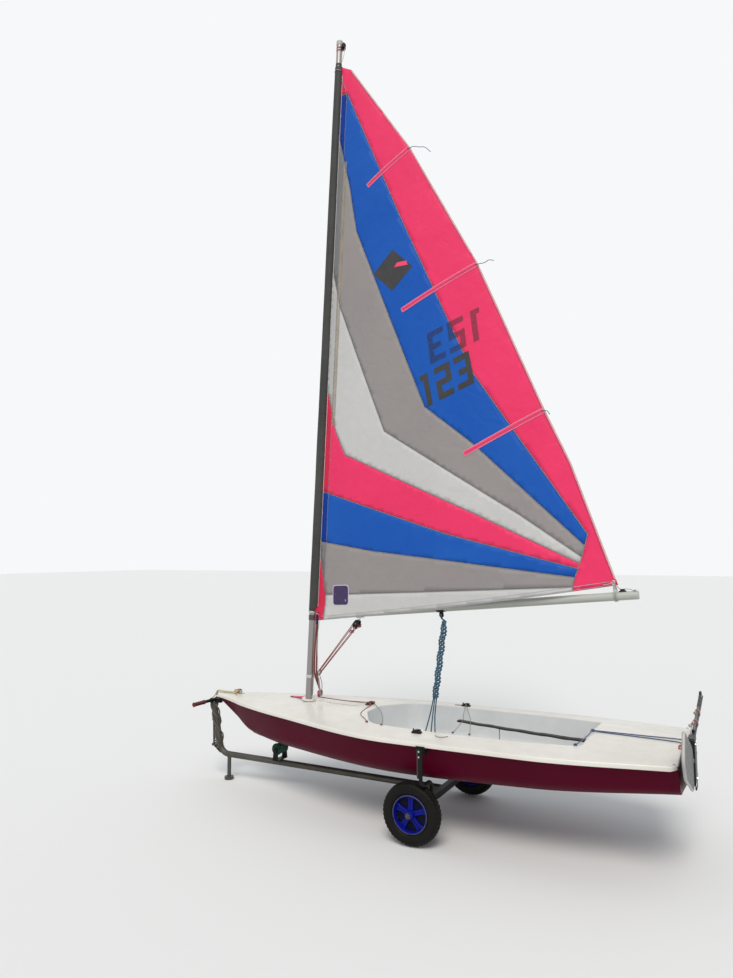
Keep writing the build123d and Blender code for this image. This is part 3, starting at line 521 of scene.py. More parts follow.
def rounded(points, radii, arc_steps=8, side_steps=6):
    """A closed outline with round corners, always with the same number of points."""
    ends = []
    for i in range(len(points)):
        here = Vector(points[i])
        a = (Vector(points[i - 1]) - here).normalized()
        b = (Vector(points[(i + 1) % len(points)]) - here).normalized()
        half_turn = a.angle(b) / 2
        reach = radii[i] / math.tan(half_turn)
        middle = here + (a + b).normalized() * (radii[i] / math.sin(half_turn))
        first, last = here + a * reach - middle, here + b * reach - middle
        turn = first.angle(last)
        ends.append([
            middle + (first * math.sin((1 - t) * turn) + last * math.sin(t * turn)) / math.sin(turn)
            for t in span(0, 1, arc_steps)])
    line = []
    for i, arc in enumerate(ends):
        line += arc
        after = ends[(i + 1) % len(ends)][0]
        line += [arc[-1].lerp(after, t) for t in span(0, 1, side_steps)[1:-1]]
    return line


def tub_line(out, z):
    """The tub's plan at a height, moved outward by out."""
    corners = [(s, -half) for s, half, radius in TUB] + [(s, half) for s, half, radius in reversed(TUB)]
    radii = [radius for s, half, radius in TUB]
    draft = tub_draft * (tub_level - z) / (tub_level - tub_floor)
    return rounded(inset(corners, draft - out), radii + radii[::-1])


def inside(outline, s, y):
    """Whether a flat place lies inside a closed outline."""
    crossings = False
    for a, b in zip(outline, outline[1:] + outline[:1]):
        if (a[1] > y) != (b[1] > y) and s < (b[0] - a[0]) * (y - a[1]) / (b[1] - a[1]) + a[0]:
            crossings = not crossings
    return crossings


def fill(outlines, lines, step, keep):
    """Triangles over a flat region: its outlines and lines are edges, with a grid of points between."""
    flat, edges = [], []
    for line, closed in [(line, True) for line in outlines] + [(line, False) for line in lines]:
        first = len(flat)
        flat.extend(Vector((p[0], p[1])) for p in line)
        edges += [(i, i + 1) for i in range(first, len(flat) - 1)]
        if closed:
            edges.append((len(flat) - 1, first))
    ends = np.array([[flat[i], flat[j]] for i, j in edges])
    low, high = ends.reshape(-1, 2).min(0), ends.reshape(-1, 2).max(0)
    row_step = step * 0.87
    spots = np.array([
        (x + (row % 2) * step / 2, y) for row, y in enumerate(np.arange(low[1], high[1], row_step))
        for x in np.arange(low[0], high[0], step)])
    a, run = ends[:, 0], ends[:, 1] - ends[:, 0]
    length = np.maximum((run ** 2).sum(1), 1e-12)
    share = np.clip(((spots[:, None] - a) * run).sum(2) / length, 0, 1)
    gap = np.linalg.norm(spots[:, None] - (a + share[..., None] * run), axis=2).min(1)
    flat.extend(Vector(p) for p in spots[gap > 0.45 * step])
    made = delaunay_2d_cdt(flat, edges, [], 0, 1e-7)
    points = made[0]
    faces = []
    for face in made[2]:
        middle = sum((points[i] for i in face), Vector((0, 0))) / len(face)
        if keep(middle.x, middle.y):
            faces.append(face)
    return points, faces


side_stop = hull_length - quarter_round
gunwale = [(0.0, 0.0)] + [(s, half_beam(s)) for s in nose_steps + span(0.05, side_stop, 90)]
corner_y = half_beam(side_stop)
stern_half = corner_y - quarter_round
gunwale += [(side_stop + quarter_round * math.sin(t), stern_half + quarter_round * math.cos(t))
            for t in span(0, math.pi / 2, 9)[1:]]
gunwale += [(hull_length, y) for y in span(stern_half, 0, 10)[1:]]
gunwale += [(s, -y) for s, y in gunwale[-2:0:-1]]
lip_columns = []
deck_edge = []
for i, (s, y) in enumerate(gunwale):
    before, after = gunwale[i - 1], gunwale[(i + 1) % len(gunwale)]
    run = Vector((after[0] - before[0], after[1] - before[1])).normalized()
    out = Vector((run.y, -run.x))
    if out.dot(Vector((s - 1.8, y))) < 0:
        out = -out
    on_stern = min(max((s - side_stop) / quarter_round, 0.0), 1.0)
    shoulder = Vector((s, y)) - out * lip_round
    top = deck_height(shoulder.x, shoulder.y)
    low = fair(2, min(s, hull_length)) - lip_depth + on_stern * (lip_depth - stern_lip)
    deck_edge.append((shoulder.x, shoulder.y))
    profile = [(lip_round - lip_round * math.sin(t), lip_round - lip_round * math.cos(t))
               for t in span(0, math.pi / 2, 6)]
    profile = [(inward, top - drop) for inward, drop in profile]
    foot = 0.003
    profile += [(0.0, low + foot * 3), (0.0004, low + foot), (foot, low), (lip_thick - 0.002, low),
                (lip_thick, low + 0.002), (lip_thick, low + 0.008), (lip_thick, low + 0.012)]
    spots = [(Vector((s, y)) - out * inward, z) for inward, z in profile]
    lip_columns.append([place(spot.x, spot.y, z) for spot, z in spots])

rim_rows = []
for t in span(0, math.pi / 2, 6):
    out, drop = coaming_round * (1 - math.sin(t)), coaming_round * (1 - math.cos(t))
    rim_rows.append([(p.x, p.y, deck_height(p.x, p.y) - drop) for p in tub_line(out, tub_level)])
wall_top = tub_level - 0.03
for z in span(wall_top, tub_floor + floor_round, 5):
    rim_rows.append([(p.x, p.y, z) for p in tub_line(0.0, z)])
for t in span(0, math.pi / 2, 7)[1:]:
    z = tub_floor + floor_round * (1 - math.sin(t))
    rim_rows.append([(p.x, p.y, z) for p in tub_line(-floor_round * (1 - math.cos(t)), z)])
tub_rim = [(p[0], p[1]) for p in rim_rows[0]]
tub_foot = [(p[0], p[1]) for p in rim_rows[-1]]

mast_hole = [(mast_s + 0.045 * math.cos(t), 0.045 * math.sin(t)) for t in circle(32)]
slot_skirt = 0.005
slot_ring = rounded([
    (slot_from - slot_skirt, -slot_half - slot_skirt), (slot_to + slot_skirt, -slot_half - slot_skirt),
    (slot_to + slot_skirt, slot_half + slot_skirt), (slot_from - slot_skirt, slot_half + slot_skirt)],
    [slot_half + slot_skirt - 0.001] * 4, 6, 4)


def on_deck(s, y):
    """Whether a place lies on the deck, off the tub, the mast's hole and the slot."""
    return (inside(deck_edge, s, y) and not inside(tub_rim, s, y) and not inside(mast_hole, s, y)
            and not inside(slot_ring, s, y))


flat_points, flat_faces = fill([deck_edge, tub_rim, mast_hole, slot_ring], [], 0.035, on_deck)
deck_form = Form()
deck_form.triangles([place(p.x, p.y, deck_height(p.x, p.y)) for p in flat_points], flat_faces, flip=True)
deck_form.rows(list(zip(*lip_columns)), around=True)
deck_form.rows([[place(*p) for p in row] for row in rim_rows], around=True, flip=True)
floor_points, floor_faces = fill([tub_foot], [], 0.06, lambda s, y: inside(tub_foot, s, y))
deck_form.triangles([place(p.x, p.y, tub_floor) for p in floor_points], floor_faces, flip=True)
deck_white = surface(
    "deck_white_gelcoat", rgb(0.76, 0.735, 0.68), rgb(0.67, 0.64, 0.575), fade_scale=1.1,
    worn=rgb(0.50, 0.47, 0.41), cover=0.20, worn_scale=9.0, dust=0.22, dust_colour=rgb(0.46, 0.43, 0.36),
    dust_scale=3.0, rough=(0.28, 0.46), coat=0.15, grain=0.0003, grain_scale=90.0)
# The tub's cooler grey gelcoat is painted shade in the hollow; its dust and scuffs are dirt and wear.
tub_shade_and_dust = surface(
    "tub_shaded_dusty_gelcoat", rgb(0.62, 0.635, 0.64), rgb(0.54, 0.550, 0.55), fade_scale=2.2,
    worn=rgb(0.40, 0.39, 0.36), cover=0.24, worn_scale=11.0, dust=0.30, dust_colour=rgb(0.40, 0.38, 0.33),
    dust_scale=6.0, rough=(0.34, 0.52), grain=0.0004, grain_scale=160.0)
deck_skin = deck_form.piece("deck_skin", deck_white, "root", "deck_gelcoat", crease=35)


def second_finish(piece, finish, chosen):
    """Gives the faces that are chosen a second finish."""
    piece.data.materials.append(finish)
    for polygon in piece.data.polygons:
        if chosen(polygon):
            polygon.material_index = 1


def in_tub(polygon):
    """Whether a face of the deck lies below the tub's edge."""
    s, y = stem_x - polygon.center.x, polygon.center.y
    return polygon.center.z < deck_height(s, y) - coaming_round / 2 and inside(tub_rim, s, y)


second_finish(deck_skin, tub_shade_and_dust, in_tub)
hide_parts("deck_moulding")


def dress(finish, *names):
    """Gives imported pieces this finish."""
    for name in names:
        nodes[name].data.materials.clear()
        nodes[name].data.materials.append(finish)


# The spars are two drawn aluminium tubes, satin anodised, the upper one slid into the lower. The
# mast stands raked in its step, and the sail's sleeve goes over it from the top.
mast_top, lower_r, upper_r = 6.160, 0.030, 0.025


def on_mast(z, aft=0.0, side=0.0):
    """A place at a height on the raked mast's line, moved square to it."""
    s = mast_s + (z - mast_datum) * math.tan(rake)
    return place(s + aft * math.cos(rake), side, z - aft * math.sin(rake))


def mast_ring(z, radius, count=32, round_by=None):
    """A ring round the mast; round_by may change the radius at each angle, 0 being aft."""
    ring = []
    for i in range(count):
        turn = 2 * math.pi * i / count
        r = radius if round_by is None else radius * round_by(turn)
        ring.append(on_mast(z, aft=r * math.cos(turn), side=r * math.sin(turn)))
    return ring


def band(form, low, high, radius, edge=0.0008):
    """A thin band round the mast, its edges rolled in to the tube."""
    form.rows([
        mast_ring(low, radius - edge * 2), mast_ring(low + edge, radius), mast_ring(high - edge, radius),
        mast_ring(high, radius - edge * 2)], around=True, flip=True)


spar_metal = surface(
    "spar_anodised", rgb(0.370, 0.345, 0.335), rgb(0.300, 0.280, 0.272), fade_scale=1.5,
    worn=rgb(0.20, 0.19, 0.18), cover=0.30, worn_scale=14.0, rough=(0.30, 0.46), metal=0.85, grain=0.0002,
    grain_scale=160.0, stretch=(1, 1, 0.02))
steel = surface("polished_steel", rgb(0.66, 0.66, 0.65), rgb(0.55, 0.54, 0.52), fade_scale=9.0,
                worn=rgb(0.42, 0.40, 0.37), cover=0.3, worn_scale=40.0, rough=(0.16, 0.34), metal=1.0)
black_plastic = surface(
    "black_fitting", rgb(0.008, 0.008, 0.0085), rgb(0.018, 0.0175, 0.017), fade_scale=12.0,
    worn=rgb(0.060, 0.060, 0.057), cover=0.35, worn_scale=30.0, dust=0.10, rough=(0.35, 0.6), grain=0.0002,
    grain_scale=500.0, mirror=0.18)
dark_red_tape = surface("dark_red_tape", rgb(0.22, 0.012, 0.025), rgb(0.30, 0.03, 0.05), fade_scale=20.0,
                        rough=(0.4, 0.6), grain=0.0001, grain_scale=900.0)
black_tape = surface("black_tape", rgb(0.02, 0.02, 0.022), rgb(0.05, 0.05, 0.05), fade_scale=20.0,
                     rough=(0.45, 0.65), grain=0.0001, grain_scale=900.0)
dress(spar_metal, "mast_lower", "mast_upper")
pale_plastic = surface(
    "pale_fitting", rgb(0.46, 0.46, 0.44), rgb(0.38, 0.38, 0.36), fade_scale=14.0,
    worn=rgb(0.20, 0.20, 0.19), cover=0.3, worn_scale=34.0, rough=(0.35, 0.55), grain=0.0002,
    grain_scale=500.0)
dress(deck_white, "mast_step")
red_bands = Form()
for low in (6.108, 6.084):
    band(red_bands, low, low + 0.012, upper_r + 0.0012)
red_bands.piece("mast_red_bands", dark_red_tape, "rig")
top_band = Form()
band(top_band, 5.952, 5.978, upper_r + 0.0012)
top_band.piece("mast_top_band", black_tape, "rig")

# The luff sleeve is a long pocket of dark grey polyester sewn along the sail's front edge. The mast
# fills it, and the slack cloth lies against the tube in long soft folds.
sleeve_low, sleeve_high = 1.415, 5.945
sleeve_r_low, sleeve_r_high = 0.0345, 0.0300
luff_tuck = 0.022


def weave_finish(name, colour, second, thread=0.0011, fold=0.0, fold_scale=7.0):
    """Woven sailcloth: crossing threads, slow colour clouds and soft handling creases."""
    material, tree, shader = new_finish(name)
    spot = add(tree, "TexCoord").outputs["Object"]
    fade = use(tree, uneven, {"Vector": spot, "Scale": 1.7})
    paint = mixed(tree, fade.outputs["Mask"], colour, second)
    feed(tree, shader, {"Base Color": paint})
    threads = use(tree, woven, {"Vector": spot, "Thread": 1.0 / thread})
    creases = add(tree, "TexNoise", {"Vector": spot, "Scale": fold_scale, "Detail": 4.0, "Distortion": 1.2})
    deep = add(tree, "Bump", {"Height": creases, "Strength": 1.0, "Distance": fold})
    fine = add(tree, "Bump", {"Height": threads.outputs["Height"], "Strength": 0.5, "Distance": 0.00025,
                              "Normal": deep})
    feed(tree, shader, {"Normal": fine})
    rough = add(tree, "MapRange", {"Value": fade.outputs["Fine"], 1: 0.3, 2: 0.7, 3: 0.42, 4: 0.6})
    feed(tree, shader, {"Roughness": rough, "Specular IOR Level": 0.16})
    return material


# Sailcloth is a tight plain weave, so its threads cross at right angles.
woven, start, end = effect("plain_weave", [("Vector", "Vector", (0, 0, 0)), ("Thread", "Float", 900.0)],
                           [("Height", "Float")])
turned = add(woven, "SeparateXYZ", {0: start.outputs["Vector"]})
threads = []
for axis in ("X", "Z"):
    angle = maths(woven, "MULTIPLY", turned.outputs[axis], start.outputs["Thread"])
    wave = maths(woven, "SINE", angle)
    threads.append(wave)
crossing = maths(woven, "MULTIPLY", threads[0], threads[1])
feed(woven, end, {"Height": crossing})

sleeve_grey = weave_finish("sleeve_cloth", rgb(0.040, 0.041, 0.040), rgb(0.068, 0.067, 0.063), fold=0.004,
                           fold_scale=9.0)
sleeve = Form()
sleeve_rows = []
sleeve_along = []
for z in span(sleeve_low, sleeve_high, 150):
    share = (z - sleeve_low) / (sleeve_high - sleeve_low)
    radius = sleeve_r_low + (sleeve_r_high - sleeve_r_low) * share

    def slack(turn, z=z):
        """The cloth's fullness round the tube at this height."""
        tail = max(0.0, math.cos(turn)) ** 5
        fold = noise.noise(Vector((math.cos(turn) * 1.4, math.sin(turn) * 1.4, z * 2.6)))
        pinch = math.sin(3 * turn + 4 * noise.noise(Vector((0, 0, z * 1.3)))) * 0.028
        return 1.0 + 0.26 * tail + 0.045 * fold + pinch

    sleeve_rows.append(mast_ring(z, radius, 48, slack))
    sleeve_along.append(z)
sleeve.rows(sleeve_rows, around=True, along=sleeve_along, across=[i * 0.005 for i in range(49)], flip=True)
sleeve_skin = sleeve.piece("luff_sleeve_cloth", sleeve_grey, "rig", "sleeve_cloth", crease=80)
thick = sleeve_skin.modifiers.new("cloth", "SOLIDIFY")
thick.thickness = 0.0012
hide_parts("luff_sleeve")

# The sail is cut from four colours of polyester sailcloth, sewn in long panels that run from the
# luff to the clew. It is stretched between the mast and the boom's end, and lies full to port.
# Columns: luff height, leech s, leech height, camber to port
LEVELS = [
    (1.330, 3.318, 1.570, 0.095),
    (2.250, 3.005, 2.485, 0.090),
    (2.650, 2.835, 2.870, 0.084),
    (3.850, 2.366, 4.014, 0.062),
    (4.970, 1.824, 5.066, 0.034),
    (5.930, 1.300, 5.885, 0.004),
]
FOOT = [(0.900, 1.334), (2.150, 1.489), (3.290, 1.664)]
clew = (3.286, 1.664)
boom_s, boom_z, boom_r = (1.018, 3.400), (1.380, 1.602), 0.028
doubled_wide, doubled_end, doubled_taper = 0.100, 5.960, 0.35
past_luff, past_leech, over_head = 0.850, 3.700, 6.100
luff_top, luff_low, head_aft = 5.938, 1.340, 0.034

# Seams from the luff to the leech or clew. Each row: the colour above the seam, its places (s, z)
SEAMS = [
    ("pink", [(past_luff, over_head), (past_leech, over_head), (past_leech, 1.450)]),
    ("blue", [(past_luff, 5.672), (1.262, 5.690), (1.747, 4.510), (2.331, 3.180), (3.103, 1.998)]),
    ("grey", [(past_luff, 5.360), (1.172, 5.360), (1.290, 4.864), (1.359, 4.464), (1.960, 2.960),
              (2.337, 2.650), (3.083, 1.920)]),
    ("white", [(past_luff, 4.300), (1.095, 4.300), (1.201, 3.862), (1.622, 2.805), (2.659, 2.136),
               (3.064, 1.846)]),
    ("pink", [(past_luff, 3.330), (1.045, 3.330), (1.160, 2.850), (1.254, 2.653), (2.357, 2.144),
              (3.049, 1.804)]),
    ("blue", [(past_luff, 2.385), (0.992, 2.385), (2.124, 2.012), (3.038, 1.768)]),
    ("grey", [(past_luff, 1.972), (0.993, 1.972), (1.504, 1.891), (2.121, 1.820), (3.016, 1.710)]),
    ("white", [(past_luff, 1.548), (1.065, 1.548), (2.118, 1.602), (3.000, 1.646)]),
    ("end", [(past_luff, 1.300), (2.985, 1.300)]),
]
TACK_STRIP = [(past_luff, 1.972), (0.993, 1.972), (1.065, 1.548), (1.058, 1.300), (past_luff, 1.300)]
clew_patch = [row[1][-1] for row in SEAMS[1:]]


def luff_s(z, aft=luff_tuck):
    """How far aft of the stem the sail's front edge is, at a height. Under the sleeve it clears the tube."""
    clear = 0.018 * min(max((1.440 - z) / 0.035, 0.0), 1.0)
    return mast_s + (z - mast_datum) * math.tan(rake) + max(aft, luff_tuck + clear) / math.cos(rake)


def foot_z(s):
    """The foot's height, on the curve through its three places."""
    height = 0.0
    for i, (s_i, z_i) in enumerate(FOOT):
        for j, (s_j, _) in enumerate(FOOT):
            if j != i:
                z_i *= (s - s_j) / (s_i - s_j)
        height += z_i
    return height


def fullness(s, z):
    """How far the sail stands to port of the boat's middle at a place on it."""
    low, high = 0.0, len(LEVELS) - 1.0
    for _ in range(26):
        share = (low + high) / 2
        i = min(int(share), len(LEVELS) - 2)
        a, b, t = LEVELS[i], LEVELS[i + 1], share - i
        luff_z, leech_s, leech_z, camber = [a[k] + (b[k] - a[k]) * t for k in range(4)]
        front = luff_s(luff_z)
        across = min(max((s - front) / (leech_s - front), 0.0), 1.0)
        if luff_z + (leech_z - luff_z) * across < z:
            low = share
        else:
            high = share
    return 4 * camber * across * (1 - across)


def creases(s, z):
    """The soft ridges beside the luff and the fan of creases out of the clew."""
    from_luff = max(s - luff_s(z), 0.0)
    wander = noise.noise(Vector((0.0, 3.1, z * 0.9))) * 1.6
    beside = math.sin(2 * math.pi * from_luff / 0.085 + wander) * math.exp(-from_luff / 0.17)
    to_clew = Vector((s - clew[0], z - clew[1]))
    reach = to_clew.length
    turn = math.atan2(to_clew.y, to_clew.x)
    fan = math.sin(turn * 26 + noise.noise(Vector((turn * 3, reach, 0))) * 2) * math.exp(-reach / 0.30)
    calm = noise.noise(Vector((s * 1.5, z * 0.8, 7.0))) * 0.006
    return 0.0030 * beside + 0.0024 * fan * min(1.0, reach / 0.06) + calm * min(1.0, from_luff / 0.3)


def eased(low, high, value):
    """0 below low, 1 above high, and a smooth step between."""
    t = min(max((value - low) / (high - low), 0.0), 1.0)
    return t * t * (3 - 2 * t)


def boom_line(s):
    """The height of the boom's middle line."""
    return boom_z[0] + (boom_z[1] - boom_z[0]) * (s - boom_s[0]) / (boom_s[1] - boom_s[0])


def on_sail(s, z, off=0.0):
    """A place on the sail. Where the foot hangs past the boom, the cloth lies on its port side."""
    side = fullness(s, z) + creases(s, z)
    beside_boom = eased(boom_line(s) + 0.085, boom_line(s) + 0.025, z)
    side += max(beside_boom * (boom_r + 0.007) - side, 0.0)
    return place(s, side + off, z)


def even_steps(line, step):
    """A line with a point at least every step."""
    made = [line[0]]
    for a, b in zip(line, line[1:]):
        count = max(int(math.ceil((Vector(b) - Vector(a)).length / step)), 1)
        made += [tuple(Vector(a).lerp(Vector(b), i / count)) for i in range(1, count + 1)]
    return made


sail_step = 0.034
foot_line = [(s, foot_z(s)) for s in span(luff_s(luff_low), clew[0], 72)]
leech_line = even_steps([clew] + [(row[1], row[2]) for row in LEVELS[1:]], 0.04)
head_line = even_steps([leech_line[-1], (luff_s(luff_top, head_aft), luff_top)], 0.02)
luff_line = [
    (luff_s(z, luff_tuck if z < 5.92 else head_aft), z) for z in span(luff_top, foot_line[0][1], 130)]
sail_edge = foot_line[:-1] + leech_line[:-1] + head_line[:-1] + luff_line[:-1]


def trimmed(line):
    """The part of a seam that lies inside the sail, its ends moved to the sail's edge."""
    kept, steps = [], 80
    for a, b in zip(line, line[1:]):
        a, b = Vector(a), Vector(b)
        flags = [inside(sail_edge, *a.lerp(b, t)) for t in span(0, 1, steps + 1)]
        if not any(flags):
            continue
        first, last = flags.index(True), steps - flags[::-1].index(True)
        kept += [a.lerp(b, first / steps), a.lerp(b, last / steps)]
    clean = [kept[0]]
    for point in kept[1:]:
        if (point - clean[-1]).length > 1e-4:
            clean.append(point)
    return [tuple(p) for p in clean]


seam_lines = [trimmed(line) for colour, line in SEAMS[1:-1]]
clew_line = trimmed(clew_patch)
tack_line = trimmed(TACK_STRIP[1:4])
doubled_line = [
    (luff_s(z, min(doubled_wide, (doubled_end - z) * doubled_taper)), z) for z in span(5.86, 1.38, 64)]
every_line = [even_steps(line, 0.04) for line in seam_lines + [clew_line, tack_line]] + [doubled_line]
sail_points, sail_faces = fill([sail_edge], every_line, sail_step, lambda s, z: inside(sail_edge, s, z))
sail_spots = [on_sail(p.x, p.y) for p in sail_points]


def colour_at(s, z):
    """The colour of the panel at a place, as the seams divide the sail."""
    if inside(TACK_STRIP, s, z):
        return "pink"
    for (colour, above), (_, below) in zip(SEAMS, SEAMS[1:]):
        if above is SEAMS[0][1]:
            wedge = below + clew_patch[1:] + [(past_leech, 1.300)] + above[1::-1]
        else:
            wedge = below + above[::-1]
        if inside(wedge, s, z):
            return colour
    return "white"


# Each cloth: its colour, a second colour for slow clouds, and a darker colour for the band beside the luff
# and the tack strip, where the cloth is doubled; that darker colour is painted shade, as less light comes
# through two layers.
CLOTHS = {
    "pink": (rgb(0.80, 0.040, 0.135), rgb(0.74, 0.034, 0.118), rgb(0.60, 0.022, 0.070)),
    "blue": (rgb(0.006, 0.078, 0.390), rgb(0.010, 0.095, 0.420), rgb(0.003, 0.034, 0.260)),
    "grey": (rgb(0.290, 0.262, 0.255), rgb(0.265, 0.245, 0.242), rgb(0.180, 0.180, 0.185)),
    "white": (rgb(0.545, 0.535, 0.525), rgb(0.495, 0.490, 0.482), rgb(0.43, 0.43, 0.425)),
}
groups = {colour: [[], []] for colour in CLOTHS}
for face in sail_faces:
    middle = sum((sail_points[i] for i in face), Vector((0, 0))) / 3
    doubled_to = min(doubled_wide, (doubled_end - middle.y) * doubled_taper)
    doubled = middle.x < luff_s(middle.y, doubled_to) or inside(TACK_STRIP, middle.x, middle.y)
    groups[colour_at(middle.x, middle.y)][doubled].append(face)
cloth_finish, doubled_shade_finish = {}, {}
for colour, (single, second, double_shade) in CLOTHS.items():
    cloth_finish[colour] = weave_finish("sailcloth_" + colour, single, second, fold=0.006)
    # The doubled band's darker colour is painted shade.
    doubled_shade_finish[colour] = weave_finish("doubled_cloth_shade_" + colour, double_shade, double_shade, fold=0.006)
    used = sorted({i for faces in groups[colour] for face in faces for i in face})
    number = {old: new for new, old in enumerate(used)}
    panel = Form()
    faces = [[number[i] for i in face] for part in groups[colour] for face in part]
    panel.triangles([sail_spots[i] for i in used], faces)
    made = panel.piece(
        "sail_panels_" + colour, cloth_finish[colour], "rig", "cloth_" + colour, crease=60, merge=0)
    made.data.materials.append(doubled_shade_finish[colour])
    for polygon in list(made.data.polygons)[len(groups[colour][0]):]:
        polygon.material_index = 1
    skin = made.modifiers.new("cloth", "SOLIDIFY")
    skin.thickness = 0.0010
    skin.offset = 0.0
    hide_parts("sail_" + colour)

# Each panel laps over the next and is sewn down with a zigzag stitch, which shows as a thin darker
# line. The hems, the luff strip's edge and the fold beside the sleeve are sewn the same way.
def strip(form, line, half, off, side=1, step=0.025):
    """A tape of this half width lying on the sail along a line; side is 1 to port and -1 to starboard."""
    line = [Vector(p) for p in even_steps(line, step)]
    rows, along = [], [0.0]
    for i, p in enumerate(line):
        run = (line[min(i + 1, len(line) - 1)] - line[max(i - 1, 0)]).normalized()
        across = Vector((-run.y, run.x)) * half
        rows.append([
            on_sail(*(p - across), off * side), on_sail(*p, off * side),
            on_sail(*(p + across), off * side)])
        if i:
            along.append(along[-1] + (p - line[i - 1]).length)
    form.rows(rows, along=along, across=[-half, 0.0, half, half], flip=side < 0)


def beside(line, distance):
    """A line moved to its left."""
    line = [Vector(p) for p in line]
    moved = []
    for i, p in enumerate(line):
        run = (line[min(i + 1, len(line) - 1)] - line[max(i - 1, 0)]).normalized()
        moved.append(tuple(p + Vector((-run.y, run.x)) * distance))
    return moved


zigzag, start, end = effect("zigzag_stitch", [("Vector", "Vector", (0, 0, 0)), ("Reach", "Float", 0.003),
                                              ("Pitch", "Float", 0.005)], [("Mask", "Float")])
flat_place = add(zigzag, "SeparateXYZ", {0: start.outputs["Vector"]})
swing = maths(zigzag, "PINGPONG", flat_place.outputs["Y"], start.outputs["Pitch"])
swing = maths(zigzag, "DIVIDE", swing, start.outputs["Pitch"])
swing = add(zigzag, "MapRange", {"Value": swing, 3: -1.0, 4: 1.0})
swing = maths(zigzag, "MULTIPLY", swing, start.outputs["Reach"])
away = maths(zigzag, "SUBTRACT", flat_place.outputs["X"], swing)
away = maths(zigzag, "ABSOLUTE", away)
thread_mask = add(zigzag, "MapRange", {"Value": away, 1: 0.0006, 2: 0.0011, 3: 1.0, 4: 0.0})
feed(zigzag, end, {"Mask": thread_mask})


def shaded(colour, share):
    """A darker copy of a colour."""
    return (colour[0] * share, colour[1] * share, colour[2] * share, 1.0)


def sewn_finish(name, colour, thread, cover, reach=0.003):
    """A sewn tape or lap: a tint over the cloth beneath, with its zigzag thread."""
    material, tree, shader = new_finish(name)
    coords = add(tree, "TexCoord")
    stitch = use(tree, zigzag, {"Vector": coords.outputs["UV"], "Reach": reach, "Pitch": 0.006})
    cloud = use(tree, uneven, {"Vector": coords.outputs["Object"], "Scale": 9.0})
    darker = shaded(colour, 0.7)
    tint = mixed(tree, cloud.outputs["Mask"], colour, darker)
    feed(tree, shader, {"Base Color": mixed(tree, stitch, tint, thread)})
    feed(tree, shader, {"Alpha": add(tree, "MapRange", {"Value": stitch, 3: cover, 4: 1.0})})
    bump = add(tree, "Bump", {"Height": stitch, "Strength": 0.6, "Distance": 0.0005})
    feed(tree, shader, {"Normal": bump, "Roughness": 0.55})
    return material


lap_finish = sewn_finish("sewn_laps", rgb(0.030, 0.025, 0.045), rgb(0.55, 0.53, 0.52), 0.42)
pale_finish = sewn_finish("pale_tape", rgb(0.66, 0.56, 0.56), rgb(0.72, 0.70, 0.68), 0.62)
red_finish = sewn_finish("red_hem", rgb(0.34, 0.008, 0.035), rgb(0.60, 0.08, 0.14), 0.80, 0.0012)
hem_finish = sewn_finish("foot_hem", rgb(0.22, 0.22, 0.23), rgb(0.60, 0.60, 0.58), 0.55, 0.0012)
tan_finish = sewn_finish("sunlit_fold", rgb(0.46, 0.385, 0.29), rgb(0.46, 0.40, 0.32), 0.50, 0.0)
laps, pale_tapes, tan_tapes, red_hems, foot_hems = Form(), Form(), Form(), Form(), Form()
leech_run = leech_line[1:]
lap_half, sewn_lift = 0.0042, 0.0014
for side in (1, -1):
    for line in seam_lines + [clew_line]:
        strip(
            laps, [p for p in line if not inside(TACK_STRIP, p[0] + 0.002, p[1])], lap_half, sewn_lift,
            side)
    strip(laps, tack_line, lap_half, sewn_lift, side)
    strip(laps, doubled_line[:-3], 0.0030, 0.0013, side)
    strip(
        tan_tapes, [(luff_s(z, doubled_wide + 0.016), z) for z in span(5.09, 2.90, 90)], 0.0210, 0.0010,
        side)
    strip(pale_tapes, [(luff_s(z, 0.047), z) for z in span(5.86, 1.45, 90)], 0.0026, 0.0015, side)
    strip(pale_tapes, beside(leech_run, 0.005), 0.0045, sewn_lift, side)
    strip(red_hems, beside(leech_run, 0.016), 0.0026, sewn_lift, side)
    for inward, half in ((0.007, 0.0030), (0.030, 0.0022)):
        strip(foot_hems, beside(foot_line[2:], inward), half, sewn_lift, side)
laps.piece("sail_laps", lap_finish, "rig")
pale_tapes.piece("sail_pale_tapes", pale_finish, "rig")
tan_tapes.piece("luff_sunlit_fold", tan_finish, "rig")
red_hems.piece("leech_hem", red_finish, "rig")
foot_hems.piece("foot_hems", hem_finish, "rig")

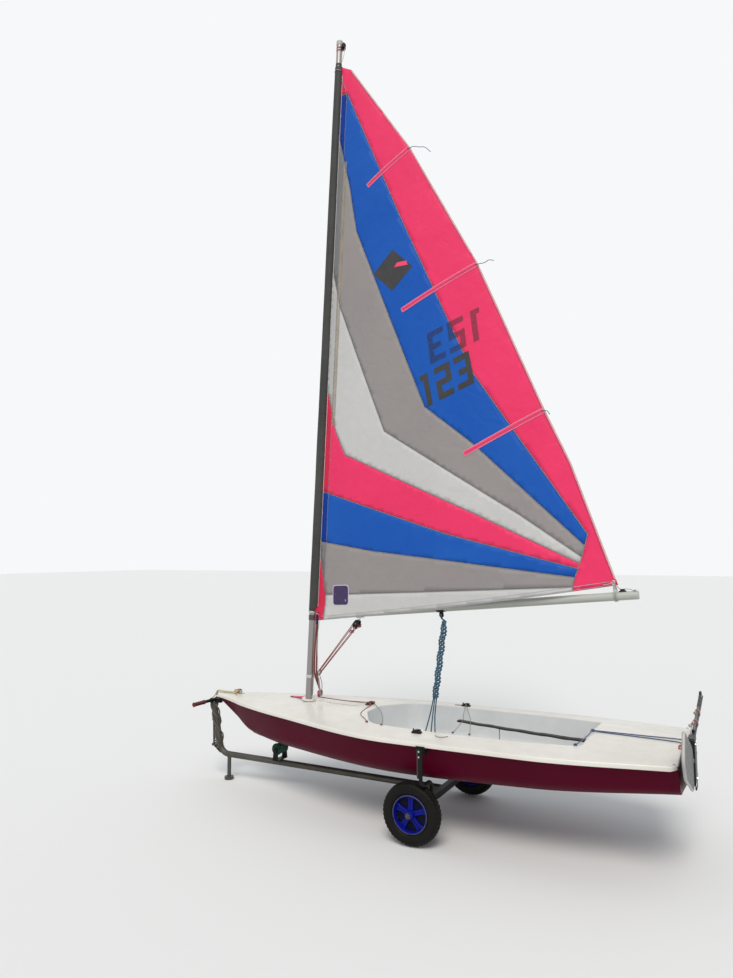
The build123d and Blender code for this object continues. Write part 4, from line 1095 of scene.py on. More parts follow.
# Three pockets of pink cloth, sewn on both sides of the sail, each hold a flat glass-fibre batten
# that stiffens the leech. A short blue yarn at each pocket's end shows how the air leaves the sail.
# Columns: leech end s, z, inner end s, z
POCKETS = [(1.824, 5.066, 1.464, 4.820), (2.366, 4.014, 1.774, 3.732), (2.835, 2.870, 2.264, 2.586)]
pocket_half = 0.017
leech_hem = 0.012
POCKET_ROUND = [
    (-1.0, 0.0016), (-0.86, 0.0026), (-0.60, 0.0030), (-0.42, 0.0048), (0.0, 0.0058), (0.42, 0.0048),
    (0.60, 0.0030), (0.86, 0.0026), (1.0, 0.0016)]
pocket_pink = weave_finish("pocket_cloth", rgb(0.86, 0.070, 0.190), rgb(0.80, 0.055, 0.165), fold=0.002)
pockets, pocket_edges, pocket_lines = Form(), Form(), Form()
for leech_s, leech_z, inner_s, inner_z in POCKETS:
    outer_end, inner_end = Vector((leech_s, leech_z)), Vector((inner_s, inner_z))
    way = (outer_end - inner_end).normalized()
    outer_end -= way * leech_hem
    across = Vector((-way.y, way.x)) * pocket_half
    long = (outer_end - inner_end).length
    for side in (1, -1):
        rows = []
        for t in span(0, 1, 44):
            shut = min(1.0, t * long / 0.012, (1 - t) * long / 0.012)
            spots = [inner_end.lerp(outer_end, t) + across * w for w, lift in POCKET_ROUND]
            rows.append([on_sail(spot.x, spot.y, side * (sewn_lift + (lift - sewn_lift) * shut))
                         for spot, (w, lift) in zip(spots, POCKET_ROUND)])
        pockets.rows(rows, flip=side < 0)
        ring = [
            inner_end - across, outer_end - across, outer_end + across, inner_end + across,
            inner_end - across]
        strip(pocket_edges, [tuple(p) for p in ring], 0.0028, 0.0034, side)
        strip(
            pocket_lines, [tuple(inner_end + way * 0.01), tuple(outer_end - way * 0.004)], 0.0030, 0.0066,
            side)
pocket_skin = pockets.piece("batten_pocket_cloth", pocket_pink, "rig", "cloth_pink", crease=70)
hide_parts("batten_pockets")
pocket_edges.piece(
    "pocket_edges", sewn_finish("pocket_edge", rgb(0.84, 0.15, 0.26), rgb(0.80, 0.45, 0.50), 0.70, 0.001),
    "rig")
pocket_lines.piece(
    "pocket_stitch_lines", sewn_finish("pocket_line", rgb(0.34, 0.010, 0.045), rgb(0.55, 0.10, 0.16), 0.55,
    0.001), "rig")


# Rope and yarn are laid round a core in two crossing sets of strands, some of them in a second
# colour. Their skins follow a fair line through a few places.
def fair_line(points, step):
    """A fair line through a few places, with a point about every step."""
    points = [Vector(p) for p in points]
    ends = [points[0] * 2 - points[1]] + points + [points[-1] * 2 - points[-2]]
    line = [points[0]]
    for a, b, c, d in zip(ends, ends[1:], ends[2:], ends[3:]):
        count = max(int(math.ceil((c - b).length / step)), 1)
        for i in range(1, count + 1):
            t = i / count
            line.append(0.5 * (2 * b + (c - a) * t + (2 * a - 5 * b + 4 * c - d) * t * t
                               + (3 * b - a - 3 * c + d) * t ** 3))
    return line


def rope(form, points, radius, step=0.012, sides=8):
    """A rope's skin. across counts turns and along counts distances round, for the braid."""
    line = fair_line(points, step)
    last = len(line) - 1
    ways = [(line[min(i + 1, last)] - line[max(i - 1, 0)]).normalized() for i in range(last + 1)]
    side = ways[0].orthogonal().normalized()
    rows, along = [[line[0]] * sides], [0.0]
    for i, (spot, way) in enumerate(zip(line, ways)):
        side = (side - way * side.dot(way)).normalized()
        other = way.cross(side)
        rows.append([spot + (side * math.cos(t) + other * math.sin(t)) * radius for t in circle(sides)])
        gone = (spot - line[i - 1]).length if i else 0.0
        along.append(along[-1] + gone / (2 * math.pi * radius))
    rows.append([line[-1]] * sides)
    along.append(along[-1])
    form.rows(rows, around=True, along=along, across=span(0, 1, sides + 1))


def knot(form, centre, size, radius):
    """A small overhand knot."""
    centre = Vector(centre)
    line = [centre + Vector((math.sin(t) + 2 * math.sin(2 * t), math.cos(t) - 2 * math.cos(2 * t),
                             -1.4 * math.sin(3 * t))) * size / 3 for t in span(0, 2 * math.pi, 25)]
    rope(form, line, radius, step=size / 3)


braid, start, end = effect("braid", [("Vector", "Vector", (0, 0, 0)), ("Strands", "Float", 4.0)],
                           [("Height", "Float"), ("Fleck", "Float")])
turn_place = add(braid, "SeparateXYZ", {0: start.outputs["Vector"]})
round_turns = maths(braid, "MULTIPLY", turn_place.outputs["X"], start.outputs["Strands"])
down_turns = maths(braid, "MULTIPLY", turn_place.outputs["Y"], start.outputs["Strands"])
strands = []
for operation in ("ADD", "SUBTRACT"):
    phase = maths(braid, operation, round_turns, down_turns)
    phase = maths(braid, "MULTIPLY", phase, 2 * math.pi)
    strands.append(maths(braid, "SINE", phase))
over = maths(braid, "MAXIMUM", strands[0], strands[1])
slow = maths(braid, "ADD", turn_place.outputs["X"], turn_place.outputs["Y"])
slow = maths(braid, "MULTIPLY", slow, 2 * math.pi)
slow = maths(braid, "SINE", slow)
chosen = maths(braid, "MULTIPLY", slow, strands[0])
fleck = add(braid, "MapRange", {"Value": chosen, 1: 0.25, 2: 0.45})
feed(braid, end, {"Height": over, "Fleck": fleck})


def rope_finish(name, colour, second):
    """A braided rope with flecks of a second colour, furred and dirtied by use."""
    material, tree, shader = new_finish(name)
    coords = add(tree, "TexCoord")
    laid = use(tree, braid, {"Vector": coords.outputs["UV"], "Strands": 4.0})
    cloud = use(tree, uneven, {"Vector": coords.outputs["Object"], "Scale": 24.0})
    dirty = shaded(colour, 0.62)
    paint = mixed(tree, cloud.outputs["Mask"], colour, dirty)
    feed(tree, shader, {"Base Color": mixed(tree, laid.outputs["Fleck"], paint, second)})
    bump = add(tree, "Bump", {"Height": laid.outputs["Height"], "Strength": 0.8, "Distance": 0.0007})
    feed(tree, shader, {"Normal": bump, "Roughness": 0.75, "Sheen Weight": 0.25})
    return material


blue_yarn = rope_finish("blue_yarn", rgb(0.020, 0.045, 0.170), rgb(0.030, 0.065, 0.220))
telltales = Form()
rope(telltales, [on_sail(1.800, 5.058, 0.004), place(1.860, 0.010, 5.058), place(1.905, 0.020, 5.036),
                 place(1.955, 0.012, 5.024), place(1.996, -0.004, 4.984)], 0.0026, sides=6)
rope(telltales, [on_sail(2.345, 4.006, 0.004), place(2.420, 0.012, 4.004), place(2.455, 0.020, 4.014),
                 place(2.492, 0.010, 4.008)], 0.0026, sides=6)
rope(telltales, [
    on_sail(2.812, 2.862, 0.004), place(2.852, 0.010, 2.858), place(2.872, 0.014, 2.830)], 0.0024, sides=6)
telltales.piece("leech_telltales", blue_yarn, "rig")


# The sail's mark, its number and the maker's patch are left generic: a plain black diamond with a
# pink bar, plain block digits and a bare purple patch. They are stuck on, the diamond and bar on both
# sides and the patch on the port side, and each digit shows through the cloth as a shade on the other side.
def patch(form, outline, off, side=1, step=0.05):
    """A flat shape lying on the sail."""
    line = even_steps(list(outline) + [outline[0]], step)[:-1]
    points, faces = fill([line], [], step, lambda s, z: inside(line, s, z))
    form.triangles([on_sail(p.x, p.y, off * side) for p in points], faces, flip=side < 0)


def digits(origin, right_way, up_way):
    """The outlines of the digits, set out from a corner along two directions."""
    strokes = [
        [(0.30, 0), (0.50, 0), (0.50, 1), (0.18, 1), (0.18, 0.84), (0.30, 0.84)],
        [(0, 0), (0.6, 0), (0.6, 0.18), (0.19, 0.18), (0.19, 0.41), (0.6, 0.41), (0.6, 1), (0, 1),
         (0, 0.82), (0.41, 0.82), (0.41, 0.59), (0, 0.59)],
        [(0, 0), (0.6, 0), (0.6, 1), (0, 1), (0, 0.82), (0.41, 0.82), (0.41, 0.59), (0.12, 0.59),
         (0.12, 0.41), (0.41, 0.41), (0.41, 0.18), (0, 0.18)],
    ]
    digit_step, left_blank, all_wide = 0.76, 0.10, 2.02
    shapes = []
    for i, stroke in enumerate(strokes):
        line = []
        for x, y in stroke:
            across = (x + i * digit_step - left_blank) / all_wide
            line.append(tuple(Vector(origin) + Vector(right_way) * across + Vector(up_way) * y))
        shapes.append(line)
    return shapes


vinyl_black = surface("black_vinyl", rgb(0.012, 0.012, 0.013), rgb(0.030, 0.030, 0.032), fade_scale=6.0,
                      rough=(0.35, 0.5), grain=0.0001, grain_scale=900.0)
vinyl_pink = surface("pink_vinyl", rgb(0.80, 0.050, 0.150), rgb(0.72, 0.040, 0.130), fade_scale=6.0,
                     rough=(0.35, 0.5), grain=0.0001, grain_scale=900.0)
shade = surface("shade_through_cloth", rgb(0.010, 0.010, 0.020), rgb(0.020, 0.020, 0.035), fade_scale=9.0,
                rough=(0.5, 0.6))
shade.node_tree.nodes["Principled BSDF"].inputs["Alpha"].default_value = 0.42
mark_s, mark_z, mark_r = 1.690, 4.070, 0.168
diamond = [
    (mark_s - mark_r, mark_z), (mark_s, mark_z - mark_r), (mark_s + mark_r, mark_z),
    (mark_s, mark_z + mark_r)]
bar = [(mark_s + 0.015, mark_z + 0.020), (mark_s + 0.130, mark_z + 0.020), (mark_s + 0.118, mark_z + 0.055),
       (mark_s + 0.040, mark_z + 0.055)]
black_marks, pink_marks, shades = Form(), Form(), Form()
for side in (1, -1):
    patch(black_marks, diamond, 0.0016, side)
    patch(pink_marks, bar, 0.0024, side)
port_digits = digits((1.950, 2.940), (0.395, 0.165), (-0.045, 0.245))
starboard_digits = digits((2.420, 3.440), (-0.410, -0.165), (-0.030, 0.240))
for shape in port_digits:
    patch(black_marks, shape, 0.0018)
    patch(shades, shape, 0.0020, -1)
for shape in starboard_digits:
    patch(black_marks, shape[::-1], 0.0018, -1)
    patch(shades, shape[::-1], 0.0020)
black_marks.piece("sail_black_marks", vinyl_black, "rig")
pink_marks.piece("sail_pink_bar", vinyl_pink, "rig")
shades.piece("marks_seen_through", shade, "rig")
badge_pale = surface(
    "patch_border", rgb(0.60, 0.55, 0.66), rgb(0.52, 0.47, 0.58), fade_scale=12.0, rough=(0.4, 0.6),
    grain=0.0001, grain_scale=700.0)
badge_purple = surface(
    "patch_purple", rgb(0.024, 0.011, 0.062), rgb(0.040, 0.020, 0.088), fade_scale=30.0,
    worn=rgb(0.20, 0.15, 0.30), cover=0.3, worn_scale=40.0, rough=(0.4, 0.6), grain=0.0001,
    grain_scale=700.0)
badge_s, badge_z, badge_half = 1.216, 1.549, 0.077
for name, finish, half, off in (("sail_patch_border", badge_pale, badge_half, 0.0016),
                                ("sail_patch", badge_purple, badge_half - 0.006, 0.0024)):
    form = Form()
    corners = [(-half, -half - 0.006), (half, -half), (half, half + 0.006), (-half, half)]
    patch(form, rounded([(badge_s + a, badge_z + b) for a, b in corners], [0.022] * 4, 5, 3), off)
    form.piece(name, finish, "rig")


# Pressed steel eyelets hold the sail's three corners, a ring on each side of the cloth, so that the
# lashings bear on metal.
def eyelet(form, centre, axis, radius, thick):
    """A ring about an axis."""
    centre, axis = Vector(centre), Vector(axis).normalized()
    a = axis.orthogonal().normalized()
    b = axis.cross(a)
    rows = []
    for t in span(0, 2 * math.pi, 25):
        out = a * math.cos(t) + b * math.sin(t)
        rows.append([centre + out * (radius + thick * math.cos(k)) + axis * (thick * math.sin(k))
                     for k in circle(8)])
    form.rows(rows, around=True)


eyelets = Form()
for s, z in ((clew[0] - 0.030, clew[1] + 0.016), (1.004, 1.392), (1.150, 5.900)):
    for side in (1, -1):
        eyelet(eyelets, on_sail(s, z, side * 0.0016), (0, 1, 0), 0.0105, 0.0028)
eyelets.piece("sail_eyelets", steel, "rig", "stainless")

# The mast's head is a moulded pale plug with two upstands and a small black sheave box on its aft
# side, for the line that holds up the sail's head.
def raised(form, outline, origin, u, v, depth, edge=0.001):
    """A plate with softened edges: its flat outline, the directions it lies in and its thickness."""
    origin, u, v = Vector(origin), Vector(u).normalized(), Vector(v).normalized()
    up = u.cross(v)
    rows = []
    for inward, height in ((edge, 0), (edge * 0.3, edge * 0.3), (0, edge), (0, depth - edge),
                           (edge * 0.3, depth - edge * 0.3), (edge, depth)):
        rows.append([origin + u * p[0] + v * p[1] + up * height for p in inset(outline, inward)])
    form.rows(rows, around=True)
    form.face(rows[0][::-1])
    form.face(rows[-1])


def oblong(half_long, half_wide, radius, steps=5):
    """A rectangle about the middle, with round corners."""
    corners = [
        (-half_long, -half_wide), (half_long, -half_wide), (half_long, half_wide), (-half_long, half_wide)]
    return [tuple(p) for p in rounded(corners, [radius] * 4, steps, 2)]


def disc(radius, count=24):
    """A circle about the middle."""
    return [(radius * math.cos(t), radius * math.sin(t)) for t in circle(count)]


def black_fitting(form, name, body):
    """A piece of hard black plastic with crisp edges."""
    return form.piece(name, black_plastic, body, "black_fittings", crease=35)


def steel_fitting(form, name, body):
    """A piece of polished steel with crisp edges."""
    return form.piece(name, steel, body, "stainless", crease=35)


mast_up = (on_mast(2.0) - on_mast(1.0)).normalized()
mast_aft = (on_mast(2.0, aft=1.0) - on_mast(2.0)).normalized()
to_port = Vector((0, 1, 0))
head_cap, sheave_box, sheaves = Form(), Form(), Form()
band(head_cap, mast_top - 0.020, mast_top + 0.016, upper_r + 0.003, 0.0012)
raised(head_cap, disc(upper_r + 0.0025, 32), on_mast(mast_top + 0.006), to_port, -mast_aft, 0.012)
for side in (-1, 1):
    raised(
        head_cap, oblong(0.017, 0.008, 0.004), on_mast(mast_top + 0.016, side=side * 0.016), mast_aft,
        to_port, 0.026)
raised(
    head_cap, oblong(0.034, 0.006, 0.003), on_mast(mast_top - 0.030, aft=upper_r + 0.004, side=-0.006),
    mast_up, mast_aft, 0.012)
for side in (-1, 1):
    box_from = on_mast(mast_top - 0.034, aft=upper_r + 0.014, side=side * 0.008 - 0.002)
    raised(sheave_box, oblong(0.030, 0.014, 0.012), box_from, mast_up, mast_aft, 0.004, 0.0008)
raised(
    sheaves, disc(0.013, 20), on_mast(mast_top - 0.040, aft=upper_r + 0.014, side=0.0055), mast_aft,
    mast_up, 0.011)
head_piece = head_cap.piece("mast_head_plug", pale_plastic, "rig", crease=35)
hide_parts("mast_head")
black_fitting(sheave_box, "mast_head_sheave_box", "rig")
black_fitting(sheaves, "mast_head_sheave", "rig")
white_line = rope_finish("white_line", rgb(0.58, 0.56, 0.51), rgb(0.36, 0.37, 0.40))
head_lines = Form()
rope(head_lines, [
    on_mast(mast_top - 0.042, aft=upper_r + 0.028), on_mast(6.02, aft=0.040), on_sail(1.166, 5.915, 0.002)],
    0.0022)
rope(head_lines, [
    on_sail(1.166, 5.915, 0.004), on_mast(5.905, aft=0.034, side=0.020),
    on_mast(5.912, aft=0.0, side=0.034), on_mast(5.915, aft=-0.036), on_mast(5.912, aft=0.0, side=-0.034),
    on_sail(1.166, 5.912, -0.004)], 0.0022)
head_lines.piece("sail_head_lashing", white_line, "rig")

# A pale plastic ring closes the sleeve's foot, and under it the gooseneck's steel band holds the
# boom. The boom is a pale drawn tube with a plug in each end.
sleeve_ring = Form()
band(sleeve_ring, sleeve_low - 0.014, sleeve_low + 0.004, lower_r + 0.0065, 0.0015)
sleeve_ring.piece("sleeve_foot_ring", pale_plastic, "rig", crease=35)
boom_white = surface(
    "boom_finish", rgb(0.46, 0.475, 0.425), rgb(0.39, 0.40, 0.365), fade_scale=1.6,
    worn=rgb(0.30, 0.30, 0.29), cover=0.22, worn_scale=12.0, rough=(0.30, 0.46), metal=0.15, grain=0.0002,
    grain_scale=160.0, stretch=(0.02, 1, 1), mirror=0.25)
dark_steel = surface("dark_steel", rgb(0.060, 0.058, 0.056), rgb(0.10, 0.095, 0.09), fade_scale=14.0,
                     worn=rgb(0.28, 0.27, 0.26), cover=0.3, worn_scale=40.0, rough=(0.30, 0.5), metal=0.7)
dress(boom_white, "boom")
dress(pale_plastic, "boom_ends")
dress(dark_steel, "gooseneck")
dress(steel, "mast_tang")


def on_boom(s, high=0.0, side=0.0):
    """A place by its distance aft of the stem, its height over the boom's middle line and its side."""
    return place(s - high * boom_lean.x, side, boom_line(s) + high * boom_lean.y)


boom_lean = Vector((boom_z[1] - boom_z[0], boom_s[1] - boom_s[0])).normalized()
boom_aft = (on_boom(3.0) - on_boom(2.0)).normalized()
boom_up = boom_aft.cross(to_port) * -1
if boom_up.z < 0:
    boom_up = -boom_up


# Two fittings are riveted under the boom: the kicker's pale key in a black saddle, and the
# mainsheet's black block. Both have cheeks, a sheave and a bolt.
def pulley(cheeks, sheaves, bolts, centre, along, side_way, long=0.024, wide=0.014, gap=0.008):
    """A block: two round-ended cheeks with a sheave between them on a bolt."""
    centre, along, side_way = Vector(centre), Vector(along).normalized(), Vector(side_way).normalized()
    other = side_way.cross(along)
    thick = 0.003
    turned_out = along.cross(other).dot(side_way)
    facing = -other if turned_out < 0 else other
    for side in (-1, 1):
        start = centre + side_way * (side * gap / 2 - (thick if side < 0 else 0))
        raised(cheeks, oblong(long, wide, wide * 0.95, 7), start, along, facing, thick, 0.0008)
    flat = (along, other) if turned_out > 0 else (other, along)
    raised(sheaves, disc(wide * 0.86, 18), centre - side_way * gap * 0.42, *flat, gap * 0.84, 0.0012)
    raised(bolts, disc(0.0035, 10), centre - side_way * (gap / 2 + 0.0045), *flat, gap + 0.009, 0.0006)


kicker_s, sheet_boom_s = 1.369, 2.040
saddles, cheeks, sheave_set, bolt_set, key = Form(), Form(), Form(), Form(), Form()
for s in (kicker_s, sheet_boom_s):
    rows = []
    for turn, drop in (
            (-62, 0.0), (-60, 0.003), (-30, 0.003), (0, 0.003), (30, 0.003), (60, 0.003), (62, 0.0)):
        angle = math.radians(turn)
        out = boom_r + 0.0004 + drop
        rows.append([
            on_boom(s + a, -out * math.cos(angle), out * math.sin(angle)) for a in span(-0.030, 0.030, 7)])
    saddles.rows(rows)
    for a in (-0.022, 0.022):
        for turn in (-40, 40):
            angle = math.radians(turn)
            out = Vector((0, math.sin(angle), 0)) - boom_up * math.cos(angle)
            centre = on_boom(s + a) + out * (boom_r + 0.0028)
            raised(bolt_set, disc(0.0034, 10), centre, boom_aft, out.cross(boom_aft), 0.0022, 0.0008)
raised(
    key, oblong(0.032, 0.0065, 0.004), on_boom(kicker_s, -boom_r + 0.002, 0.005), boom_aft, boom_up, 0.003)
raised(
    key, oblong(0.032, 0.0065, 0.004), on_boom(kicker_s, -boom_r - 0.002, -0.007), boom_aft, boom_up, 0.014)
pulley(
    cheeks, sheave_set, bolt_set, on_boom(sheet_boom_s, -boom_r - 0.020), boom_up, to_port, 0.021, 0.015,
    0.010)
saddle_piece = black_fitting(saddles, "boom_saddles", "rig")
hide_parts("boom_fittings")
black_fitting(cheeks, "mainsheet_boom_block", "rig")
steel_fitting(key, "kicker_key", "rig")

# The kicker holds the boom down: pale blocks at its lower end and black ones at the boom, and four
# falls of red-flecked line between them. The downhaul's falls stretch the sail's tack down to the mast's
# foot.
red_line = rope_finish("red_line", rgb(0.290, 0.022, 0.022), rgb(0.36, 0.15, 0.13))
dark_red_line = rope_finish("dark_red_line", rgb(0.120, 0.010, 0.014), rgb(0.21, 0.035, 0.035))
navy_webbing = weave_finish("navy_webbing", rgb(0.012, 0.016, 0.050), rgb(0.020, 0.026, 0.070), fold=0.001)
tang_hole = on_mast(0.905, aft=0.054)
low_block = tang_hole + (on_boom(kicker_s, -0.05) - tang_hole).normalized() * 0.040
high_block = on_boom(kicker_s, -boom_r - 0.012) + (
    tang_hole - on_boom(kicker_s, -0.05)).normalized() * 0.052
pull = (high_block - low_block).normalized()
pale_blocks, cheeks_high, red_falls, dark_falls = Form(), Form(), Form(), Form()
for side in (-0.009, 0.009):
    pulley(pale_blocks, sheave_set, bolt_set, low_block + to_port * side, pull, to_port)
    pulley(
        cheeks_high, sheave_set, bolt_set, high_block + to_port * side * 1.4, pull, to_port, 0.032, 0.020,
        0.010)
shackles = Form()
for side in (0.008, -0.008):
    beside_tang = tang_hole + pull * 0.014 + to_port * side
    rope(shackles, [tang_hole + pull * 0.002, beside_tang, low_block - pull * 0.022], 0.0022)
rope(shackles, [
    high_block + pull * 0.018, high_block + pull * 0.036, on_boom(kicker_s, -boom_r - 0.002)], 0.0050)
across_pull = pull.cross(to_port)
for i, (side, off) in enumerate(((-0.010, -0.011), (-0.008, 0.011), (0.008, -0.012), (0.010, 0.010))):
    shift = to_port * side + across_pull * off
    rope(red_falls, [
        low_block + shift * 0.8, low_block.lerp(high_block, 0.5) + shift * 1.1, high_block + shift * 1.5],
        0.0034)
cluster = high_block + across_pull * 0.024
knot(red_falls, high_block - pull * 0.075 + across_pull * 0.010, 0.018, 0.0034)
knot(dark_falls, cluster, 0.024, 0.0044)
knot(dark_falls, cluster - pull * 0.030 - across_pull * 0.010, 0.018, 0.0036)
mast_foot_block = on_mast(0.782, aft=0.098)
foot_blocks = Form()
for side in (-0.011, 0.011):
    pulley(foot_blocks, sheave_set, bolt_set, mast_foot_block + to_port * side, mast_up, to_port)
rope(red_falls, [
    low_block + to_port * 0.018, on_mast(0.850, aft=0.105, side=0.022), mast_foot_block + to_port * 0.016],
    0.0027)
rope(red_falls, [low_block + to_port * 0.014 + mast_aft * 0.012, on_mast(0.858, aft=0.122, side=0.016),
                 on_mast(0.790, aft=0.118, side=0.012)], 0.0027)
tack = on_sail(1.004, 1.372, 0.003)
webbing_low = on_mast(1.318, aft=0.062, side=0.030)
tack_webbing = Form()
rows = []
for spot in fair_line([
        on_sail(1.004, 1.392, 0.004), tack, webbing_low + mast_up * 0.02, webbing_low], 0.008):
    rows.append([spot - mast_aft * 0.011 + to_port * 0.001, spot - mast_aft * 0.006 + to_port * 0.0022,
                 spot + mast_aft * 0.006 + to_port * 0.0022, spot + mast_aft * 0.011 + to_port * 0.001])
tack_webbing.rows(rows)
webbing_piece = tack_webbing.piece("tack_webbing", navy_webbing, "rig", crease=60)
webbing_piece.modifiers.new("thick", "SOLIDIFY").thickness = 0.0016
tie = on_sail(1.012, 1.408, 0.005)
knot(dark_falls, tie, 0.009, 0.0020)
for aft, side, form in ((0.046, 0.030, red_falls), (0.056, 0.034, dark_falls), (0.064, 0.024, red_falls),
                        (0.072, 0.030, dark_falls)):
    rope(form, [
        webbing_low + (mast_aft * (aft - 0.060) + to_port * (side - 0.030)) * 0.5,
        on_mast(1.10, aft=aft, side=side), on_mast(0.94, aft=aft + 0.004, side=side * 0.8),
        mast_foot_block + mast_up * 0.02 + to_port * (side - 0.028)], 0.0046)
grey_tail = Form()
rope(grey_tail, [
    on_sail(1.030, 1.366, 0.006), on_mast(1.20, aft=0.076, side=0.040),
    on_mast(0.98, aft=0.092, side=0.038), on_mast(0.86, aft=0.104, side=0.034),
    on_mast(0.770, aft=0.120, side=0.030)], 0.0019)
rope(grey_tail, [on_mast(0.905, aft=0.100, side=0.026), on_mast(0.84, aft=0.120, side=0.040),
                 on_mast(0.775, aft=0.128, side=0.030), on_mast(0.748, aft=0.110, side=0.020)], 0.0019)
shackle_low = on_mast(0.742, aft=0.044, side=0.012)
rope(shackles, [
    shackle_low - mast_up * 0.012, shackle_low + mast_aft * 0.012, shackle_low + mast_up * 0.022,
    shackle_low - mast_aft * 0.010, shackle_low - mast_up * 0.012], 0.0032)
rope(shackles, [shackle_low + mast_up * 0.018, mast_foot_block - mast_up * 0.022], 0.0026)
pale_blocks.piece("kicker_lower_blocks", pale_plastic, "rig", crease=35)
black_fitting(cheeks_high, "kicker_upper_blocks", "rig")
foot_blocks.piece("mast_foot_blocks", dark_red_tape, "rig", crease=35)
black_fitting(sheave_set, "rig_sheaves", "rig")
steel_fitting(bolt_set, "rig_bolts", "rig")
shackles.piece("rig_shackles", steel, "rig", "stainless")
red_falls.piece("kicker_and_downhaul_falls", red_line, "rig")
dark_falls.piece("dark_red_falls", dark_red_line, "rig")
grey_tail.piece("pale_tails", white_line, "rig")

# The clew is lashed to the boom with a few turns, and its line runs through a small black cleat to
# the boom's end.
clew_lines, clew_cleat = Form(), Form()
eye = on_sail(clew[0] - 0.030, clew[1] + 0.016, 0.0)
for i in range(3):
    loop = [
        on_boom(3.262 + i * 0.007, high, side) for high, side in ((0.052, 0.016), (0.012, 0.033),
        (-0.024, 0.024), (-0.032, 0.0), (-0.024, -0.024), (0.012, -0.033), (0.052, -0.016))]
    rope(clew_lines, [eye + to_port * 0.004] + loop + [eye - to_port * 0.004], 0.0026)
rope(clew_lines, [
    on_sail(3.195, 1.664, 0.010), on_sail(3.225, 1.668, 0.014), eye + to_port * 0.008,
    on_boom(3.300, 0.046), on_boom(3.335, 0.044), on_boom(3.372, 0.036, 0.006),
    on_boom(3.398, 0.012, 0.014)], 0.0027)
knot(clew_lines, on_boom(3.392, 0.030, 0.010), 0.009, 0.0025)
raised(clew_cleat, oblong(0.024, 0.010, 0.005), on_boom(3.315, boom_r - 0.002), boom_aft, -to_port, 0.008)
for side in (-1, 1):
    raised(
        clew_cleat, oblong(0.014, 0.0035, 0.0025), on_boom(3.315, boom_r + 0.004, side * 0.007), boom_aft,
        -to_port, 0.013)
clew_lines.piece("clew_lashing", white_line, "rig")
black_fitting(clew_cleat, "clew_cleat", "rig")

# The mainsheet is one blue braided rope with pale flecks: its spare length is plaited up under the
# boom, and three falls come down to the block on the tub's floor.
blue_rope = rope_finish("blue_mainsheet", rgb(0.006, 0.055, 0.120), rgb(0.10, 0.26, 0.36))
sheet = Form()
sheet_top = on_boom(sheet_boom_s, -boom_r - 0.020)
hank_top, hank_low = place(2.076, 0.020, 1.385), place(2.002, 0.030, 0.842)
sheet_block_s = 1.975
floor_block = place(sheet_block_s, 0.0, 0.560)
rope(sheet, [sheet_top + to_port * 0.012, sheet_top - boom_up * 0.026 + to_port * 0.008, hank_top], 0.0048)
rope(sheet, [
    sheet_top - to_port * 0.012, sheet_top - boom_up * 0.028 - to_port * 0.004, hank_top - to_port * 0.010],
    0.0048)
turns, turn_steps = 13, 6
for strand in range(3):
    line = []
    for i in range(turns * turn_steps + 1):
        t = i / (turns * turn_steps)
        angle = 2 * math.pi * (i / turn_steps * 0.5 + strand / 3)
        wide = (0.023 - 0.001 * t) * (0.8 + 0.2 * math.sin(i * 0.9 + strand * 2)) * eased(-0.02, 0.10, t)
        spot = hank_top.lerp(hank_low, t)
        line.append(spot + Vector((math.cos(angle) * wide, math.sin(angle) * wide * 0.6, 0.0)))
    rope(sheet, line, 0.0074, step=0.012)
knot(sheet, hank_top + Vector((0, 0.004, -0.010)), 0.015, 0.0052)
knot(sheet, hank_low, 0.016, 0.0054)
for aft, side, low_aft, low_side in ((-0.010, 0.006, -0.072, 0.012), (0.000, 0.014, -0.020, 0.016),
                                     (0.010, 0.000, 0.004, -0.012)):
    from_hank = hank_low + Vector((-aft, side * 0.5, 0))
    half_down = hank_low.lerp(floor_block, 0.5) + Vector((-low_aft * 0.5, side, 0))
    to_block = floor_block + Vector((-low_aft, low_side, -0.010))
    rope(sheet, [from_hank, half_down, to_block], 0.0048)
sheet_piece = sheet.piece("mainsheet", blue_rope, None)
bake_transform(sheet_piece)

# The daggerboard's case is moulded in with the deck, and the fittings are screwed through it: jam
# cleats with toothed jaws on the side decks, and two small ones for the mast's lines.
dress(deck_white, "daggerboard_case")
dress(steel, "gudgeons", "pintles")
dress(pale_plastic, "sheet_base")
deck_up = Vector((0, 0, 1))
to_bow = Vector((1, 0, 0))


def on_top(s, y, high=0.0):
    """A place over the deck's surface."""
    return place(s, y, deck_height(s, y) + high)


cleat_bases, cleat_jaws, cleat_screws = Form(), Form(), Form()
jam_s, jam_y = 2.050, 0.472
for y in (jam_y, -jam_y):
    spot = on_top(jam_s, y)
    raised(cleat_bases, oblong(0.034, 0.0185, 0.008), spot - deck_up * 0.006, to_bow, to_port, 0.016, 0.002)
    for side in (-1, 1):
        teeth = []
        for t in circle(32):
            notch = 0.0011 * (
                1 if int(t / (2 * math.pi) * 32) % 2 else -1) if math.sin(t) * side < 0.2 else 0.0
            teeth.append(((0.0135 + notch) * math.cos(t), (0.0085 + notch) * math.sin(t)))
        raised(
            cleat_jaws, teeth, spot + to_port * side * 0.0105 + deck_up * 0.010, to_bow, to_port, 0.012,
            0.0008)
        raised(
            cleat_screws, disc(0.0038, 12), spot + to_port * side * 0.0105 + deck_up * 0.022, to_bow,
            to_port, 0.0022, 0.0008)
    for end_side in (-1, 1):
        eyelet(cleat_jaws, spot + to_bow * end_side * 0.024 + deck_up * 0.017, to_bow, 0.0075, 0.0028)
jam_piece = black_fitting(cleat_bases, "jam_cleat_bases", "root")
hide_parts("jam_cleats")
small_bases = Form()
small_s, small_near, small_far = 1.402, -0.075, -0.115
